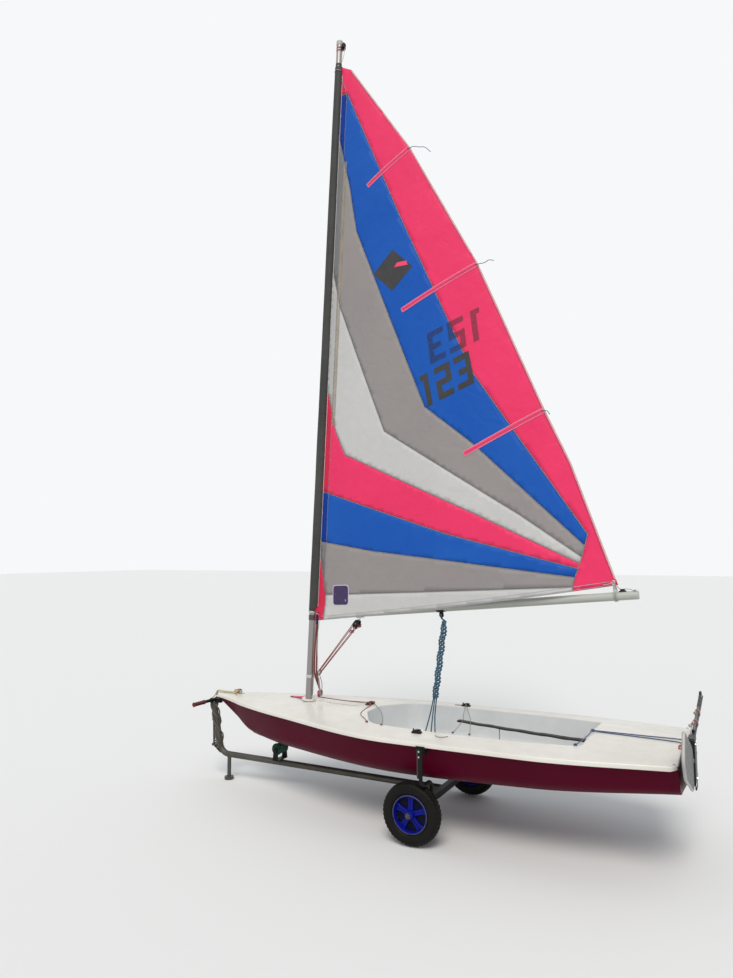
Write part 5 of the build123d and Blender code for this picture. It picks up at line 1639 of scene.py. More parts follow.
for y in (small_near, small_far):
    spot = on_top(small_s, y)
    raised(small_bases, oblong(0.026, 0.014, 0.007), spot - deck_up * 0.006, to_bow, to_port, 0.014, 0.0015)
    for side in (-1, 1):
        raised(
            cleat_jaws, oblong(0.013, 0.0042, 0.003), spot + to_port * side * 0.0075 + deck_up * 0.008,
            to_bow, to_port, 0.013, 0.0010)
        raised(
            cleat_screws, disc(0.0026, 10), spot + to_bow * side * 0.020 + deck_up * 0.007, to_bow, to_port,
            0.0022, 0.0006)
small_piece = black_fitting(small_bases, "control_cleat_bases", "root")
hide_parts("control_cleats")
black_fitting(cleat_jaws, "cleat_jaws", "root")

# The mainsheet runs to an upright block on the tub's floor. It has a round foot, a coiled spring that
# holds it up, two cheeks and a sheave.
floor_cheeks, floor_sheave, floor_bolt = Form(), Form(), Form()
pulley(
    floor_cheeks, floor_sheave, floor_bolt, place(sheet_block_s, 0.0, 0.532), deck_up, to_port, 0.036,
    0.027, 0.018)
floor_foot = Form()
raised(floor_foot, disc(0.034, 32), place(sheet_block_s, 0.0, tub_floor), to_bow, to_port, 0.009, 0.002)
spring = [
    place(sheet_block_s, 0.0, 0.478) + Vector((0.013 * math.cos(t), 0.013 * math.sin(t),
    0.0042 * t / math.pi)) for t in span(0, 8 * math.pi, 49)]
rope(floor_foot, spring, 0.0018, step=0.02, sides=6)
foot_piece = steel_fitting(floor_foot, "sheet_block_foot", "root")
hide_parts("sheet_base")
black_fitting(floor_cheeks, "sheet_block_cheeks", "root")
floor_sheave.piece("sheet_block_sheave", pale_plastic, "root", crease=35)

# The toe strap is padded black webbing from a plate on the tub's after wall. Thin cords from the
# starboard cleat hold its front end up, and they run over it to the tub's port edge.
STRAP_ROUND = [
    (-1.0, 0.0), (-0.96, 0.62), (-0.80, 0.90), (-0.45, 1.0), (-0.15, 0.93), (0.15, 0.93), (0.45, 1.0),
    (0.80, 0.90), (0.96, 0.62), (1.0, 0.0), (0.96, -0.62), (0.80, -0.90), (0.0, -1.0), (-0.80, -0.90),
    (-0.96, -0.62)]
strap_front, strap_back = Vector((2.157, 0.684)), Vector((3.086, 0.645))
strap_black = weave_finish(
    "strap_webbing", rgb(0.020, 0.020, 0.017), rgb(0.036, 0.035, 0.028), thread=0.0022, fold=0.003,
    fold_scale=22.0)
strap_tip = weave_finish("strap_tip", rgb(0.006, 0.006, 0.006), rgb(0.012, 0.012, 0.012), fold=0.001)
strap_form = Form()
rows, along = [], []
for i, t in enumerate(span(0, 1, 110)):
    middle = strap_front.lerp(strap_back, t)
    shut = min(1.0, math.sqrt(max(t * 0.94, 0.0) / 0.010) if t < 0.010 else 1.0)
    half = 0.0245 * (0.55 + 0.45 * shut) + 0.0008 * math.sin(t * 41)
    thick = 0.0068 * (0.35 + 0.65 * shut) * (1 + 0.10 * math.sin(t * 63 + 1) * math.sin(t * 17))
    sag = -0.004 * math.sin(math.pi * t) + 0.0012 * math.sin(t * 29)
    lean = 0.10 * math.sin(t * 5 + 0.4)
    row = []
    for a, b in STRAP_ROUND:
        row.append(place(middle.x, a * half, middle.y + sag + b * thick + a * half * lean * 0.3))
    rows.append(row)
    along.append(t * 0.93)
strap_form.rows(rows, around=True, along=along, across=[i * 0.007 for i in range(len(STRAP_ROUND) + 1)])
strap_form.face(rows[0][::-1])
strap_form.face(rows[-1])
strap_piece = strap_form.piece("toe_strap_webbing", strap_black, "root", "webbing", crease=60)
second_finish(strap_piece, strap_tip, lambda polygon: stem_x - polygon.center.x < strap_front.x + 0.030)
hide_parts("toe_strap")
strap_plate = Form()
raised(strap_plate, oblong(0.034, 0.022, 0.006), place(3.090, 0.0, 0.645), to_port, deck_up, 0.005, 0.001)
for side in (-1, 1):
    raised(
        cleat_screws, disc(0.0045, 12), place(3.084, side * 0.028, 0.645), to_port, deck_up, 0.003, 0.001)
steel_fitting(strap_plate, "toe_strap_plate", "root")
steel_fitting(cleat_screws, "deck_screws", "root")
brown_cord = rope_finish("brown_cord", rgb(0.115, 0.085, 0.065), rgb(0.26, 0.21, 0.17))
strap_cords = Form()
starboard_jaw = on_top(jam_s, -jam_y, 0.020)
for s, side, end_s in ((2.212, 0.030, 2.278), (2.262, 0.020, 2.392)):
    edge = on_top(end_s, 0.392, 0.003)
    rope(strap_cords, [starboard_jaw, place(s - 0.030, -0.050, 0.707), place(s, side, 0.700), edge], 0.0021)
    knot(strap_cords, edge + to_port * 0.008 + deck_up * 0.002, 0.008, 0.0021)
rope(strap_cords, [
    starboard_jaw, starboard_jaw + Vector((0.020, -0.012, -0.008)), on_top(2.004, -0.490, 0.004),
    on_top(1.960, -0.470, 0.003)], 0.0021)
rope(strap_cords, [
    place(2.466, 0.000, 0.676), place(2.466, 0.003, 0.580), place(2.464, 0.000, 0.478)], 0.0028)
eyelet(strap_cords, place(2.464, 0.0, 0.476), to_bow, 0.007, 0.0025)
rope(strap_cords, [on_top(2.185, 0.480, 0.0025), on_top(2.205, 0.502, 0.0025), on_top(2.240, 0.504, 0.0025),
                   on_top(2.272, 0.474, 0.0025)], 0.0018)
strap_cords.piece("toe_strap_cords", brown_cord, "root")

# A blue bridle lies along the tub's after edge, from its port corner, and its two parts run aft on
# the deck to the red block and the transom.
bridle_rope = rope_finish("blue_bridle", rgb(0.014, 0.028, 0.120), rgb(0.16, 0.22, 0.42))
bridle = Form()
lip_line = [on_top(3.062, 0.352, 0.0035), on_top(3.083, 0.230, 0.0040), on_top(3.093, 0.100, 0.0040),
            on_top(3.098, 0.004, 0.0042)]
rope(bridle, lip_line + [
    on_top(3.150, -0.006, 0.0038), on_top(3.400, -0.004, 0.0038), on_top(3.636, -0.002, 0.0038),
    place(3.654, -0.002, deck_height(3.65, 0) - 0.014), place(3.655, -0.002, 0.672)], 0.0034)
rope(bridle, [
    on_top(3.094, 0.060, 0.0085), on_top(3.101, 0.018, 0.0085), on_top(3.160, 0.020, 0.0038),
    on_top(3.400, 0.042, 0.0038), on_top(3.560, 0.060, 0.0038), on_top(3.622, 0.070, 0.0038),
    on_top(3.640, 0.110, 0.006), on_top(3.640, 0.186, 0.014)], 0.0034)
knot(bridle, on_top(3.060, 0.356, 0.004), 0.010, 0.0034)
knot(bridle, on_top(3.098, 0.010, 0.008), 0.011, 0.0034)
bridle.piece("after_deck_bridle", bridle_rope, "root")
red_plastic = surface(
    "red_block", rgb(0.40, 0.014, 0.018), rgb(0.32, 0.020, 0.022), fade_scale=24.0,
    worn=rgb(0.60, 0.22, 0.20), cover=0.25, worn_scale=60.0, rough=(0.35, 0.55), grain=0.0002,
    grain_scale=600.0)
dress(red_plastic, "stern_fitting")
block_dot = Form()
raised(block_dot, disc(0.0062, 16), place(3.640, 0.2075, 0.722), to_bow, -deck_up, 0.0030, 0.0008)
raised(block_dot, disc(0.0062, 16), place(3.640, 0.1925, 0.722), to_bow, deck_up, 0.0030, 0.0008)
block_dot.piece("stern_block_sheave_pin", pale_plastic, "root", crease=35)
corner_pins = Form()
for side in (-1, 1):
    raised(
        corner_pins, disc(0.0085, 18), on_top(3.628, side * 0.478, -0.002), to_bow, to_port, 0.006, 0.0015)
corner_pins.piece("quarter_pins", pale_plastic, "root", crease=35)

# At the bow a steel eye takes the painter, a pale line that is made fast there with a hitch and led
# over the stem to the trolley's post.
dress(steel, "bow_fitting")
painter_rope = rope_finish("painter", rgb(0.62, 0.56, 0.36), rgb(0.48, 0.42, 0.20))
painter, orange_fleck = Form(), Form()
eye_top = on_top(0.226, 0.0, 0.030)
rope(painter, [
    eye_top + to_port * 0.012, eye_top + Vector((0.010, 0.020, -0.004)), on_top(0.190, 0.022, 0.010),
    on_top(0.140, 0.016, 0.008), on_top(0.060, 0.010, 0.008), on_top(0.012, 0.008, 0.009),
    place(-0.012, 0.006, 0.712), place(-0.036, 0.010, 0.672), place(-0.052, 0.026, 0.650),
    place(-0.060, 0.028, 0.630)], 0.0056)
rope(painter, [
    eye_top - to_port * 0.012, eye_top + Vector((0.014, -0.018, -0.006)), on_top(0.180, -0.012, 0.010),
    on_top(0.120, -0.004, 0.008), on_top(0.052, -0.006, 0.008), on_top(0.014, -0.010, 0.009),
    place(-0.012, -0.010, 0.710), place(-0.038, -0.014, 0.668)], 0.0056)
for i in range(3):
    ring = []
    for t in span(0, 2 * math.pi, 9):
        forward = 0.026 + i * 0.012 + 0.006 * math.sin(t)
        ring.append(eye_top + Vector((forward, 0.013 * math.cos(t), -0.011 + 0.010 * math.sin(t))))
    rope(painter, ring, 0.0046)
knot(orange_fleck, eye_top + Vector((0.010, 0.012, 0.002)), 0.011, 0.0034)
rope(orange_fleck, [
    eye_top + Vector((0.002, 0.014, -0.002)), on_top(0.214, 0.044, 0.004), on_top(0.236, 0.060, 0.004)],
    0.0030)
painter.piece("painter_line", painter_rope, "root")
orange_fleck.piece(
    "orange_tie", rope_finish("orange_tie", rgb(0.45, 0.11, 0.03), rgb(0.60, 0.30, 0.16)), "root")

# Two control lines run aft over the deck from the mast's foot to the small cleats, and their tails
# loop over to the tub's port edge. A pink strap with a black tip lies ahead of the mast.
lines_from = on_mast(0.752, aft=0.080, side=0.006)
cleat_at = on_top(small_s, small_near, 0.012)
control = Form()
rope(control, [
    lines_from, lines_from.lerp(cleat_at, 0.5) - deck_up * 0.004, cleat_at + to_bow * 0.02], 0.0026)
rope(control, [
    lines_from - to_port * 0.012, lines_from.lerp(on_top(small_s, small_far, 0.012), 0.5) - deck_up * 0.006,
    on_top(1.382, -0.115, 0.012)], 0.0024)
control_piece = control.piece("control_lines", red_line, None)
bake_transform(control_piece)
tails = Form()
rope(tails, [
    cleat_at - to_bow * 0.014, on_top(1.440, -0.020, 0.006), on_top(1.452, 0.080, 0.003),
    on_top(1.478, 0.190, 0.003), on_top(1.520, 0.262, 0.003), on_top(1.575, 0.315, 0.003),
    on_top(1.622, 0.372, 0.003)], 0.0026)
knot(tails, on_top(1.628, 0.382, 0.005), 0.009, 0.0026)
knot(tails, on_top(1.420, -0.060, 0.014), 0.014, 0.0026)
knot(tails, on_top(1.424, -0.118, 0.014), 0.013, 0.0026)
tails.piece("control_line_tails", red_line, "root")
brown_tail = Form()
rope(brown_tail, [
    on_top(1.420, -0.115, 0.014), on_top(1.470, -0.060, 0.010), place(1.560, 0.040, 0.704),
    place(1.640, 0.160, 0.690), place(1.705, 0.290, 0.688), on_top(1.752, 0.398, 0.003)], 0.0022)
knot(brown_tail, on_top(1.755, 0.405, 0.004), 0.008, 0.0022)
brown_tail.piece("control_line_brown_tail", brown_cord, "root")
pink_webbing = weave_finish("pink_webbing", rgb(0.80, 0.11, 0.22), rgb(0.70, 0.08, 0.18), fold=0.002)
pink_form = Form()
black_tip_s = 0.715
rows = []
for s, y, wide, high in (
        (0.836, -0.092, 0.080, 0.018), (0.816, -0.100, 0.078, 0.013), (0.790, -0.102, 0.070, 0.008),
        (0.760, -0.098, 0.058, 0.004), (0.730, -0.094, 0.048, 0.003), (0.714, -0.092, 0.042, 0.002),
        (0.704, -0.088, 0.036, 0.002), (0.688, -0.084, 0.028, 0.002)):
    rows.append([on_top(s, y + wide * w, 0.0015 + high) for w in (0.0, 0.35, 0.7, 1.0)])
pink_form.rows(rows)
pink_strap = pink_form.piece("mast_foot_strap", pink_webbing, "root", crease=60)
pink_strap.modifiers.new("thick", "SOLIDIFY").thickness = 0.0022
second_finish(pink_strap, strap_tip, lambda polygon: stem_x - polygon.center.x < black_tip_s)

# The rudder's blade is laminated and painted white, greyer where it has been handled, and its two
# broad faces are painted a darker grey, which is painted shade. It turns on a bolt between two black
# cheeks, and it stands half raised, turned across the stern.
blade_white = surface(
    "blade_white", rgb(0.48, 0.47, 0.45), rgb(0.34, 0.34, 0.33), fade_scale=3.4,
    worn=rgb(0.20, 0.20, 0.185), cover=0.34, worn_scale=16.0, dust=0.22, rough=(0.32, 0.5), grain=0.0003,
    grain_scale=120.0)
pintle_line, pivot_r, pivot_z = hull_length + 0.045, 0.075, 0.520
kick, blade_half = math.radians(112), 0.0098
BLADE = [
    (-0.015, 0.430, 0.030), (-0.012, -0.030, 0.080), (0.062, -0.172, 0.060), (0.234, -0.136, 0.014),
    (0.228, 0.318, 0.070), (0.128, 0.488, 0.012), (0.123, 0.568, 0.046), (0.027, 0.568, 0.046),
    (0.024, 0.462, 0.010)]


def on_rudder(r, side, z):
    """A place by its distance aft of the pintles on a straight rudder, turned to where it is parked."""
    return Vector((stem_x - pintle_line + side, r, z))


def on_blade(r, side, z):
    """A place on the lowered blade, swung up about its bolt."""
    a, b = r - pivot_r, z - pivot_z
    return on_rudder(pivot_r + a * math.cos(kick) - b * math.sin(kick), side,
                     pivot_z + a * math.sin(kick) + b * math.cos(kick))


blade_line = rounded([(r, z) for r, z, radius in BLADE], [radius for r, z, radius in BLADE], 7, 8)
bolt_ring = [(pivot_r + 0.0066 * math.cos(t), pivot_z + 0.0066 * math.sin(t)) for t in circle(16)]
blade_form = Form()
rows = []
for inward, side in (
        (0.012, -1.0), (0.0070, -0.90), (0.0030, -0.68), (0.0008, -0.36), (0.0, 0.0), (0.0008, 0.36),
        (0.0030, 0.68), (0.0070, 0.90), (0.012, 1.0)):
    rows.append([on_blade(p[0], side * blade_half, p[1]) for p in inset(blade_line, inward)])
blade_form.rows(rows, around=True)
blade_face = [tuple(p) for p in inset(blade_line, 0.012)]
points, faces = fill([blade_face, bolt_ring], [], 0.035,
                     lambda r, z: inside(blade_face, r, z) and not inside(bolt_ring, r, z))
for side in (-1, 1):
    blade_form.triangles([on_blade(p.x, side * blade_half, p.y) for p in points], faces, flip=side > 0)
blade_form.rows([
    [on_blade(r, -blade_half, z) for r, z in bolt_ring],
    [on_blade(r, blade_half, z) for r, z in bolt_ring]], around=True)
blade_piece = blade_form.piece(
    "rudder_blade_foil", blade_white, "blade", "blade_white", crease=30, merge=2e-5)
# The broad faces' darker grey is painted shade; the marks on it are wear and dust.
blade_painted_shade = surface(
    "blade_face", rgb(0.120, 0.122, 0.120), rgb(0.078, 0.080, 0.080), fade_scale=4.0,
    worn=rgb(0.30, 0.30, 0.29), cover=0.30, worn_scale=14.0, dust=0.2, rough=(0.35, 0.55), grain=0.0003,
    grain_scale=120.0, mirror=0.2)
second_finish(blade_piece, blade_painted_shade, lambda polygon: abs(polygon.normal.x) > 0.98)
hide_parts("rudder_blade")

# The tiller is a black anodised tube in the rudder's head. Its extension is a thinner grey tube on a
# bent rubber joint with a steel pin, and it is folded back along the tiller and tied there.
tiller_black = surface(
    "tiller_black", rgb(0.009, 0.010, 0.011), rgb(0.020, 0.022, 0.023), fade_scale=8.0,
    worn=rgb(0.10, 0.11, 0.11), cover=0.30, worn_scale=26.0, rough=(0.24, 0.44), grain=0.0002,
    grain_scale=300.0, mirror=0.10)
cheek_black = surface(
    "rudder_head_black", rgb(0.007, 0.007, 0.008), rgb(0.016, 0.016, 0.017), fade_scale=10.0,
    worn=rgb(0.075, 0.075, 0.075), cover=0.35, worn_scale=22.0, dust=0.08, rough=(0.30, 0.52), grain=0.0002,
    grain_scale=400.0, mirror=0.18)
grey_tube = surface(
    "extension_tube", rgb(0.060, 0.052, 0.045), rgb(0.090, 0.080, 0.070), fade_scale=9.0,
    worn=rgb(0.30, 0.28, 0.26), cover=0.3, worn_scale=30.0, rough=(0.30, 0.5), metal=0.4, grain=0.0002,
    grain_scale=300.0)
dress(tiller_black, "tiller")
dress(cheek_black, "rudder_head")
tiller_z, tiller_rise = 0.738, math.tan(math.radians(6))


def on_tiller(r, side=0.0, high=0.0):
    """A place beside the tiller's middle line."""
    return on_rudder(r, side, tiller_z - r * tiller_rise + high)


tiller_plugs, tiller_bolts, elbow, stick, lashing, ball = Form(), Form(), Form(), Form(), Form(), Form()
tiller_way = (on_tiller(-1.0) - on_tiller(0.0)).normalized()
raised(
    tiller_plugs, disc(0.0128, 24), on_tiller(-0.900) - tiller_way * 0.004, to_bow,
    tiller_way.cross(to_bow), 0.006, 0.0015)
for r in (0.045, 0.110):
    for side in (-1, 1):
        raised(
            tiller_bolts, disc(0.0062, 6), on_rudder(r, side * 0.0190, 0.728), to_port, deck_up * side,
            0.005, 0.0012)
for side in (-1, 1):
    raised(
        tiller_bolts, disc(0.0115, 28), on_rudder(pivot_r, side * 0.0195, pivot_z), to_port, deck_up * side,
        0.0026, 0.0008)
    raised(
        tiller_bolts, disc(0.0082, 6), on_rudder(pivot_r, side * 0.0222, pivot_z), to_port, deck_up * side,
        0.0060, 0.0012)
black_fitting(tiller_plugs, "tiller_end_plug", "rudder")
joint_foot = on_tiller(-0.855, 0.0, 0.014)
rope(elbow, [
    joint_foot - deck_up * 0.004, joint_foot + deck_up * 0.014 - to_port * 0.004,
    joint_foot + deck_up * 0.030 + to_port * 0.006, joint_foot + deck_up * 0.030 + to_port * 0.034,
    on_tiller(-0.800, 0.0, 0.034)], 0.0085, step=0.006, sides=14)
rope(elbow, [joint_foot - deck_up * 0.003, joint_foot + deck_up * 0.004], 0.0130, step=0.006, sides=18)
for side in (-1, 1):
    raised(
        tiller_bolts, disc(0.0048, 12), on_tiller(-0.792, side * 0.0085, 0.033), to_port, deck_up * side,
        0.0040, 0.0010)
rope(
    stick, [on_tiller(-0.815, 0.0, 0.033), on_tiller(-0.500, 0.0, 0.0265), on_tiller(-0.050, 0.0, 0.0260)],
    0.0078, step=0.02, sides=18)
rope(elbow, [on_tiller(-0.062, 0.0, 0.0260), on_tiller(-0.040, 0.0, 0.0260)], 0.0098, step=0.01, sides=18)
rope(elbow, [on_tiller(-0.800, 0.0, 0.0330), on_tiller(-0.560, 0.0, 0.0280)], 0.0092, step=0.01, sides=18)
for r, turns in ((-0.470, 4), (-0.250, 3)):
    coil = [on_tiller(r + 0.0052 * t / (2 * math.pi), 0.0168 * math.sin(t), 0.0105 + 0.0262 * math.cos(t))
            for t in span(0, 2 * math.pi * turns, turns * 12 + 1)]
    rope(lashing, coil, 0.0024, step=0.012, sides=6)
    knot(lashing, on_tiller(r + 0.010, 0.0190, 0.012), 0.006, 0.0022)
rope(lashing, [
    on_tiller(-0.250, 0.020, 0.010), on_tiller(-0.170, 0.021, -0.004), on_tiller(-0.060, 0.024, -0.030),
    on_rudder(0.020, 0.0250, 0.700), on_rudder(0.060, 0.0250, 0.640)], 0.0024, sides=6)
middle = on_tiller(-0.215, 0.0290, 0.004)
rows = []
for t in span(0.02, math.pi - 0.02, 13):
    ring = 0.0120 * math.sin(t)
    rows.append([middle + Vector((ring * math.cos(k), 0.0120 * math.cos(t), ring * math.sin(k)))
                 for k in circle(16)])
ball.rows(rows, around=True)
ball.face(rows[0])
ball.face(rows[-1][::-1])
steel_fitting(tiller_bolts, "rudder_bolts", "rudder")
elbow.piece("tiller_extension_joint", black_plastic, "rudder", "black_fittings", crease=50)
stick.piece("tiller_extension", grey_tube, "rudder", crease=50)
lashing.piece(
    "tiller_lashing", rope_finish("red_white_cord", rgb(0.48, 0.050, 0.055), rgb(0.66, 0.62, 0.58)),
    "rudder")
ball.piece("lashing_ball", pale_plastic, "rudder")
plates = Form()
for side in (-1, 1):
    raised(
        plates, oblong(0.028, 0.0085, 0.004), on_rudder(0.132, side * 0.0188, 0.500), to_port,
        deck_up * side, 0.0016, 0.0006)
steel_fitting(plates, "rudder_head_plates", "rudder")

# The launching trolley is a galvanised steel tube that bends up at the bow into a post. Its black
# cross handle has red grips, and a short leg with a flat foot keeps the bow up.
zinc = surface(
    "galvanised_steel", rgb(0.105, 0.098, 0.085), rgb(0.070, 0.065, 0.056), fade_scale=9.0,
    worn=rgb(0.075, 0.040, 0.024), cover=0.30, worn_scale=13.0, dust=0.22,
    dust_colour=rgb(0.090, 0.078, 0.060), dust_scale=9.0, rough=(0.38, 0.60), metal=0.55, grain=0.0003,
    grain_scale=220.0, mirror=0.3)
black_steel = surface(
    "black_painted_steel", rgb(0.0055, 0.0055, 0.006), rgb(0.012, 0.0115, 0.011), fade_scale=8.0,
    worn=rgb(0.045, 0.026, 0.017), cover=0.24, worn_scale=20.0, dust=0.12,
    dust_colour=rgb(0.050, 0.042, 0.033), dust_scale=8.0, rough=(0.34, 0.56), grain=0.0003,
    grain_scale=260.0, mirror=0.14)
grip_red = surface(
    "grip_rubber", rgb(0.135, 0.022, 0.022), rgb(0.095, 0.020, 0.020), fade_scale=14.0,
    worn=rgb(0.090, 0.034, 0.030), cover=0.34, worn_scale=32.0, dust=0.2, rough=(0.50, 0.70), grain=0.0003,
    grain_scale=400.0, mirror=0.15)
dress(zinc, "trolley_tube", "front_leg", "leg_foot", "axle_stubs")
dress(black_steel, "handle_bar", "axle_beam", "roller_bracket")
bar_s, bar_z = -0.053, 0.633
grips = Form()
for side in (-1, 1):
    rows = []
    along = []
    for i, t in enumerate(span(0, 1, 65)):
        y = side * (0.130 + 0.124 * t)
        flare = 0.0030 * (eased(0.90, 1.0, t) + eased(0.08, 0.0, t))
        rib = 0.0007 * math.cos(t * 2 * math.pi * 18)
        rows.append([place(
            bar_s + (0.0158 + flare + rib) * math.cos(k), y, bar_z + (0.0158 + flare + rib) * math.sin(k))
            for k in circle(24)])
        along.append(0.124 * t)
    rows = [[place(bar_s + 0.0132 * math.cos(k), side * 0.1295, bar_z + 0.0132 * math.sin(k))
             for k in circle(24)]] + rows
    grips.rows(rows, around=True, flip=side < 0)
    grips.face(rows[-1], flip=side > 0)
grip_piece = grips.piece("handle_grip_sleeves", grip_red, "root", "grip_rubber", crease=50)
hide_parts("handle_grips")
trolley_bolts, clamps, strut = Form(), Form(), Form()
for side in (-1, 1):
    rope(clamps, [
        place(bar_s + 0.004, side * 0.034, bar_z + 0.018), place(bar_s - 0.019, side * 0.034,
        bar_z + 0.004), place(bar_s - 0.016, side * 0.034, bar_z - 0.016),
        place(bar_s + 0.012, side * 0.034, bar_z - 0.018)], 0.0045, step=0.006)
raised(clamps, oblong(0.036, 0.018, 0.008), place(-0.004, 0.013, 0.630), to_bow, deck_up, 0.026, 0.003)
raised(clamps, disc(0.015, 20), place(0.012, 0.020, 0.630), to_bow, deck_up, 0.040, 0.003)
rope(strut, [
    place(-0.052, 0.0, 0.480), place(-0.049, 0.0, 0.400), place(-0.046, 0.0, 0.300),
    place(-0.044, 0.0, 0.262)], 0.0085, step=0.02, sides=14)
for z in (0.470, 0.262):
    rope(strut, [place(-0.049, -0.012, z), place(-0.049, 0.012, z)], 0.0120, step=0.01, sides=14)
rope(
    clamps, [place(-0.052, 0.0, 0.486), place(-0.040, 0.0, 0.520), place(-0.034, 0.0, 0.548)], 0.0075,
    step=0.01, sides=12)
rope(
    clamps, [place(-0.044, 0.0, 0.262), place(-0.010, 0.0, 0.232), place(0.028, 0.0, 0.205)], 0.0075,
    step=0.01, sides=12)
for side in (-1, 1):
    raised(
        trolley_bolts, disc(0.0085, 6), place(0.120, side * 0.023, 0.200), to_bow * -side, deck_up,
        0.008, 0.0014)
trolley_bolts.piece("trolley_bolts", zinc, "root", "galvanised", crease=35)
clamps.piece("post_clamps", black_steel, "root", "black_steel", crease=40)
strut.piece("post_strut", zinc, "root", "galvanised", crease=40)

# Ropes are wound round the post, over and over, some tan and some nearly black, and they are knotted
# at its foot.
post_ropes, post_tan = Form(), Form()


def on_post(z):
    """The post's middle line."""
    return place(0.040 - 0.093 * (z - 0.200) / 0.420, 0.0, z)


for form, first, last, turns, radius, phase in (
        (post_tan, 0.606, 0.290, 1.3, 0.0062, 0.0), (post_ropes, 0.596, 0.262, 1.1, 0.0060, 1.3),
        (post_tan, 0.600, 0.270, 0.9, 0.0056, 2.6), (post_ropes, 0.604, 0.280, 1.2, 0.0058, 4.0),
        (post_tan, 0.590, 0.266, 1.0, 0.0056, 5.2)):
    line = []
    for t in span(0, 1, 17):
        angle = phase + turns * 2 * math.pi * t
        z = first + (last - first) * t
        line.append(on_post(z) + Vector((
            0.0315 * math.cos(angle), 0.0315 * math.sin(angle), 0.006 * math.sin(angle * 2.0))))
    rope(form, line, radius, step=0.014)
for side, z in ((0.018, 0.292), (0.024, 0.262), (-0.016, 0.276)):
    knot(post_ropes, on_post(z) + Vector((0.012, side, 0.0)), 0.026, 0.0052)
post_tan.piece(
    "post_ropes_tan", rope_finish("tan_rope", rgb(0.125, 0.108, 0.075), rgb(0.075, 0.062, 0.042)), "root")
post_ropes.piece(
    "post_ropes_dark", rope_finish("dark_rope", rgb(0.040, 0.036, 0.031), rgb(0.090, 0.080, 0.062)), "root")

# The bow's weight stands on a soft green roller in a black bracket. Over the axle two black props
# come up under the gunwale, with rubber pads, and black rope hangs below the hull there.
roller_green = surface(
    "roller_green", rgb(0.010, 0.090, 0.052), rgb(0.006, 0.048, 0.030), fade_scale=12.0,
    worn=rgb(0.050, 0.120, 0.085), cover=0.3, worn_scale=26.0, dust=0.12, rough=(0.45, 0.62), grain=0.0003,
    grain_scale=260.0, mirror=0.15)
roller_s, roller_r = 0.633, 0.046
roller_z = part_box("keel_roller")[1].z - roller_r
roller = Form()
profile = [
    (-0.0595, 0.012), (-0.0595, 0.030), (-0.0575, 0.0335), (-0.0540, 0.0345), (-0.0520, 0.0430),
    (-0.0495, 0.0455), (-0.0420, 0.0459), (-0.0300, 0.0430), (0.0, 0.0415), (0.0300, 0.0430),
    (0.0420, 0.0459), (0.0495, 0.0455), (0.0520, 0.0430), (0.0540, 0.0345), (0.0575, 0.0335),
    (0.0595, 0.030), (0.0595, 0.012)]
rows = []
for y, radius in profile:
    rows.append([place(roller_s + radius * math.cos(k), y, roller_z + radius * math.sin(k))
                 for k in circle(40)])
roller.rows(rows, around=True)
roller_piece = roller.piece("keel_roller_soft", roller_green, "root", "roller_plastic", crease=40)
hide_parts("keel_roller")
pad_black = surface(
    "pad_rubber", rgb(0.006, 0.006, 0.006), rgb(0.012, 0.0115, 0.011), fade_scale=14.0,
    worn=rgb(0.032, 0.030, 0.026), cover=0.3, worn_scale=30.0, dust=0.12, rough=(0.55, 0.78), grain=0.0005,
    grain_scale=300.0, mirror=0.12)
dress(pad_black, "gunwale_pads")
props, prop_bolts, prop_edges, under_ropes = Form(), Form(), Form(), Form()
prop_s, prop_r, post_half = 2.145, 0.013, 0.0185
for side in (-1, 1):
    corner = [place(prop_s, side * (0.455 + 0.052 * (1 - math.cos(t))), 0.340 + 0.052 * math.sin(t))
              for t in span(0, math.pi / 2, 7)]
    knee = [place(prop_s, side * (0.578 + 0.052 * math.sin(t)), 0.392 + 0.052 * (1 - math.cos(t)))
            for t in span(0, math.pi / 2, 7)]
    rope(
        props, [place(prop_s, side * 0.455, 0.205)] + corner + knee + [place(prop_s, side * 0.630, 0.600)],
        prop_r, step=0.012, sides=18)
    raised(
        props, oblong(0.0400, 0.0150, 0.003), place(2.1085, side * 0.455, 0.185), to_bow, to_port, 0.030,
        0.0015)
    face_y = side * 0.6410
    raised(
        props, oblong(post_half, 0.092, 0.004), place(prop_s, face_y, 0.544), to_bow * -side, deck_up,
        0.0080, 0.0012)
    for z in (0.618, 0.584):
        raised(
            prop_bolts, disc(0.0062, 18), place(prop_s - 0.004, face_y + side * 0.0078, z),
            to_bow * -side, deck_up, 0.0022, 0.0008)
        raised(
            prop_bolts, disc(0.0048, 6), place(prop_s - 0.004, face_y + side * 0.0096, z),
            to_bow * -side, deck_up, 0.0040, 0.0010)
    edge_from = place(prop_s - post_half + 0.004, face_y + side * 0.0076, 0.544)
    raised(prop_edges, oblong(0.0026, 0.086, 0.002), edge_from, to_bow * -side, deck_up, 0.0012, 0.0004)
prop_piece = props.piece("side_posts", black_steel, "root", "black_steel", crease=35)
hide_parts("side_props")
prop_bolts.piece("prop_bolts", steel, "root", "galvanised", crease=35)
prop_edges.piece("prop_worn_edges", grey_tube, "root", crease=35)
rope(under_ropes, [place(2.060, 0.400, 0.222), place(2.080, 0.430, 0.290), place(2.110, 0.470, 0.330),
                   place(2.140, 0.468, 0.300), place(2.130, 0.452, 0.225)], 0.0045)
for y in (0.380, 0.395, 0.410):
    ring = [place(2.050 + 0.027 * math.cos(t), y + 0.002 * math.sin(3 * t), 0.200 + 0.027 * math.sin(t))
            for t in span(0, 2 * math.pi, 17)]
    rope(under_ropes, ring, 0.0045)
under_ropes.piece(
    "axle_lashing", rope_finish("black_rope", rgb(0.020, 0.019, 0.018), rgb(0.060, 0.055, 0.045)), "root")

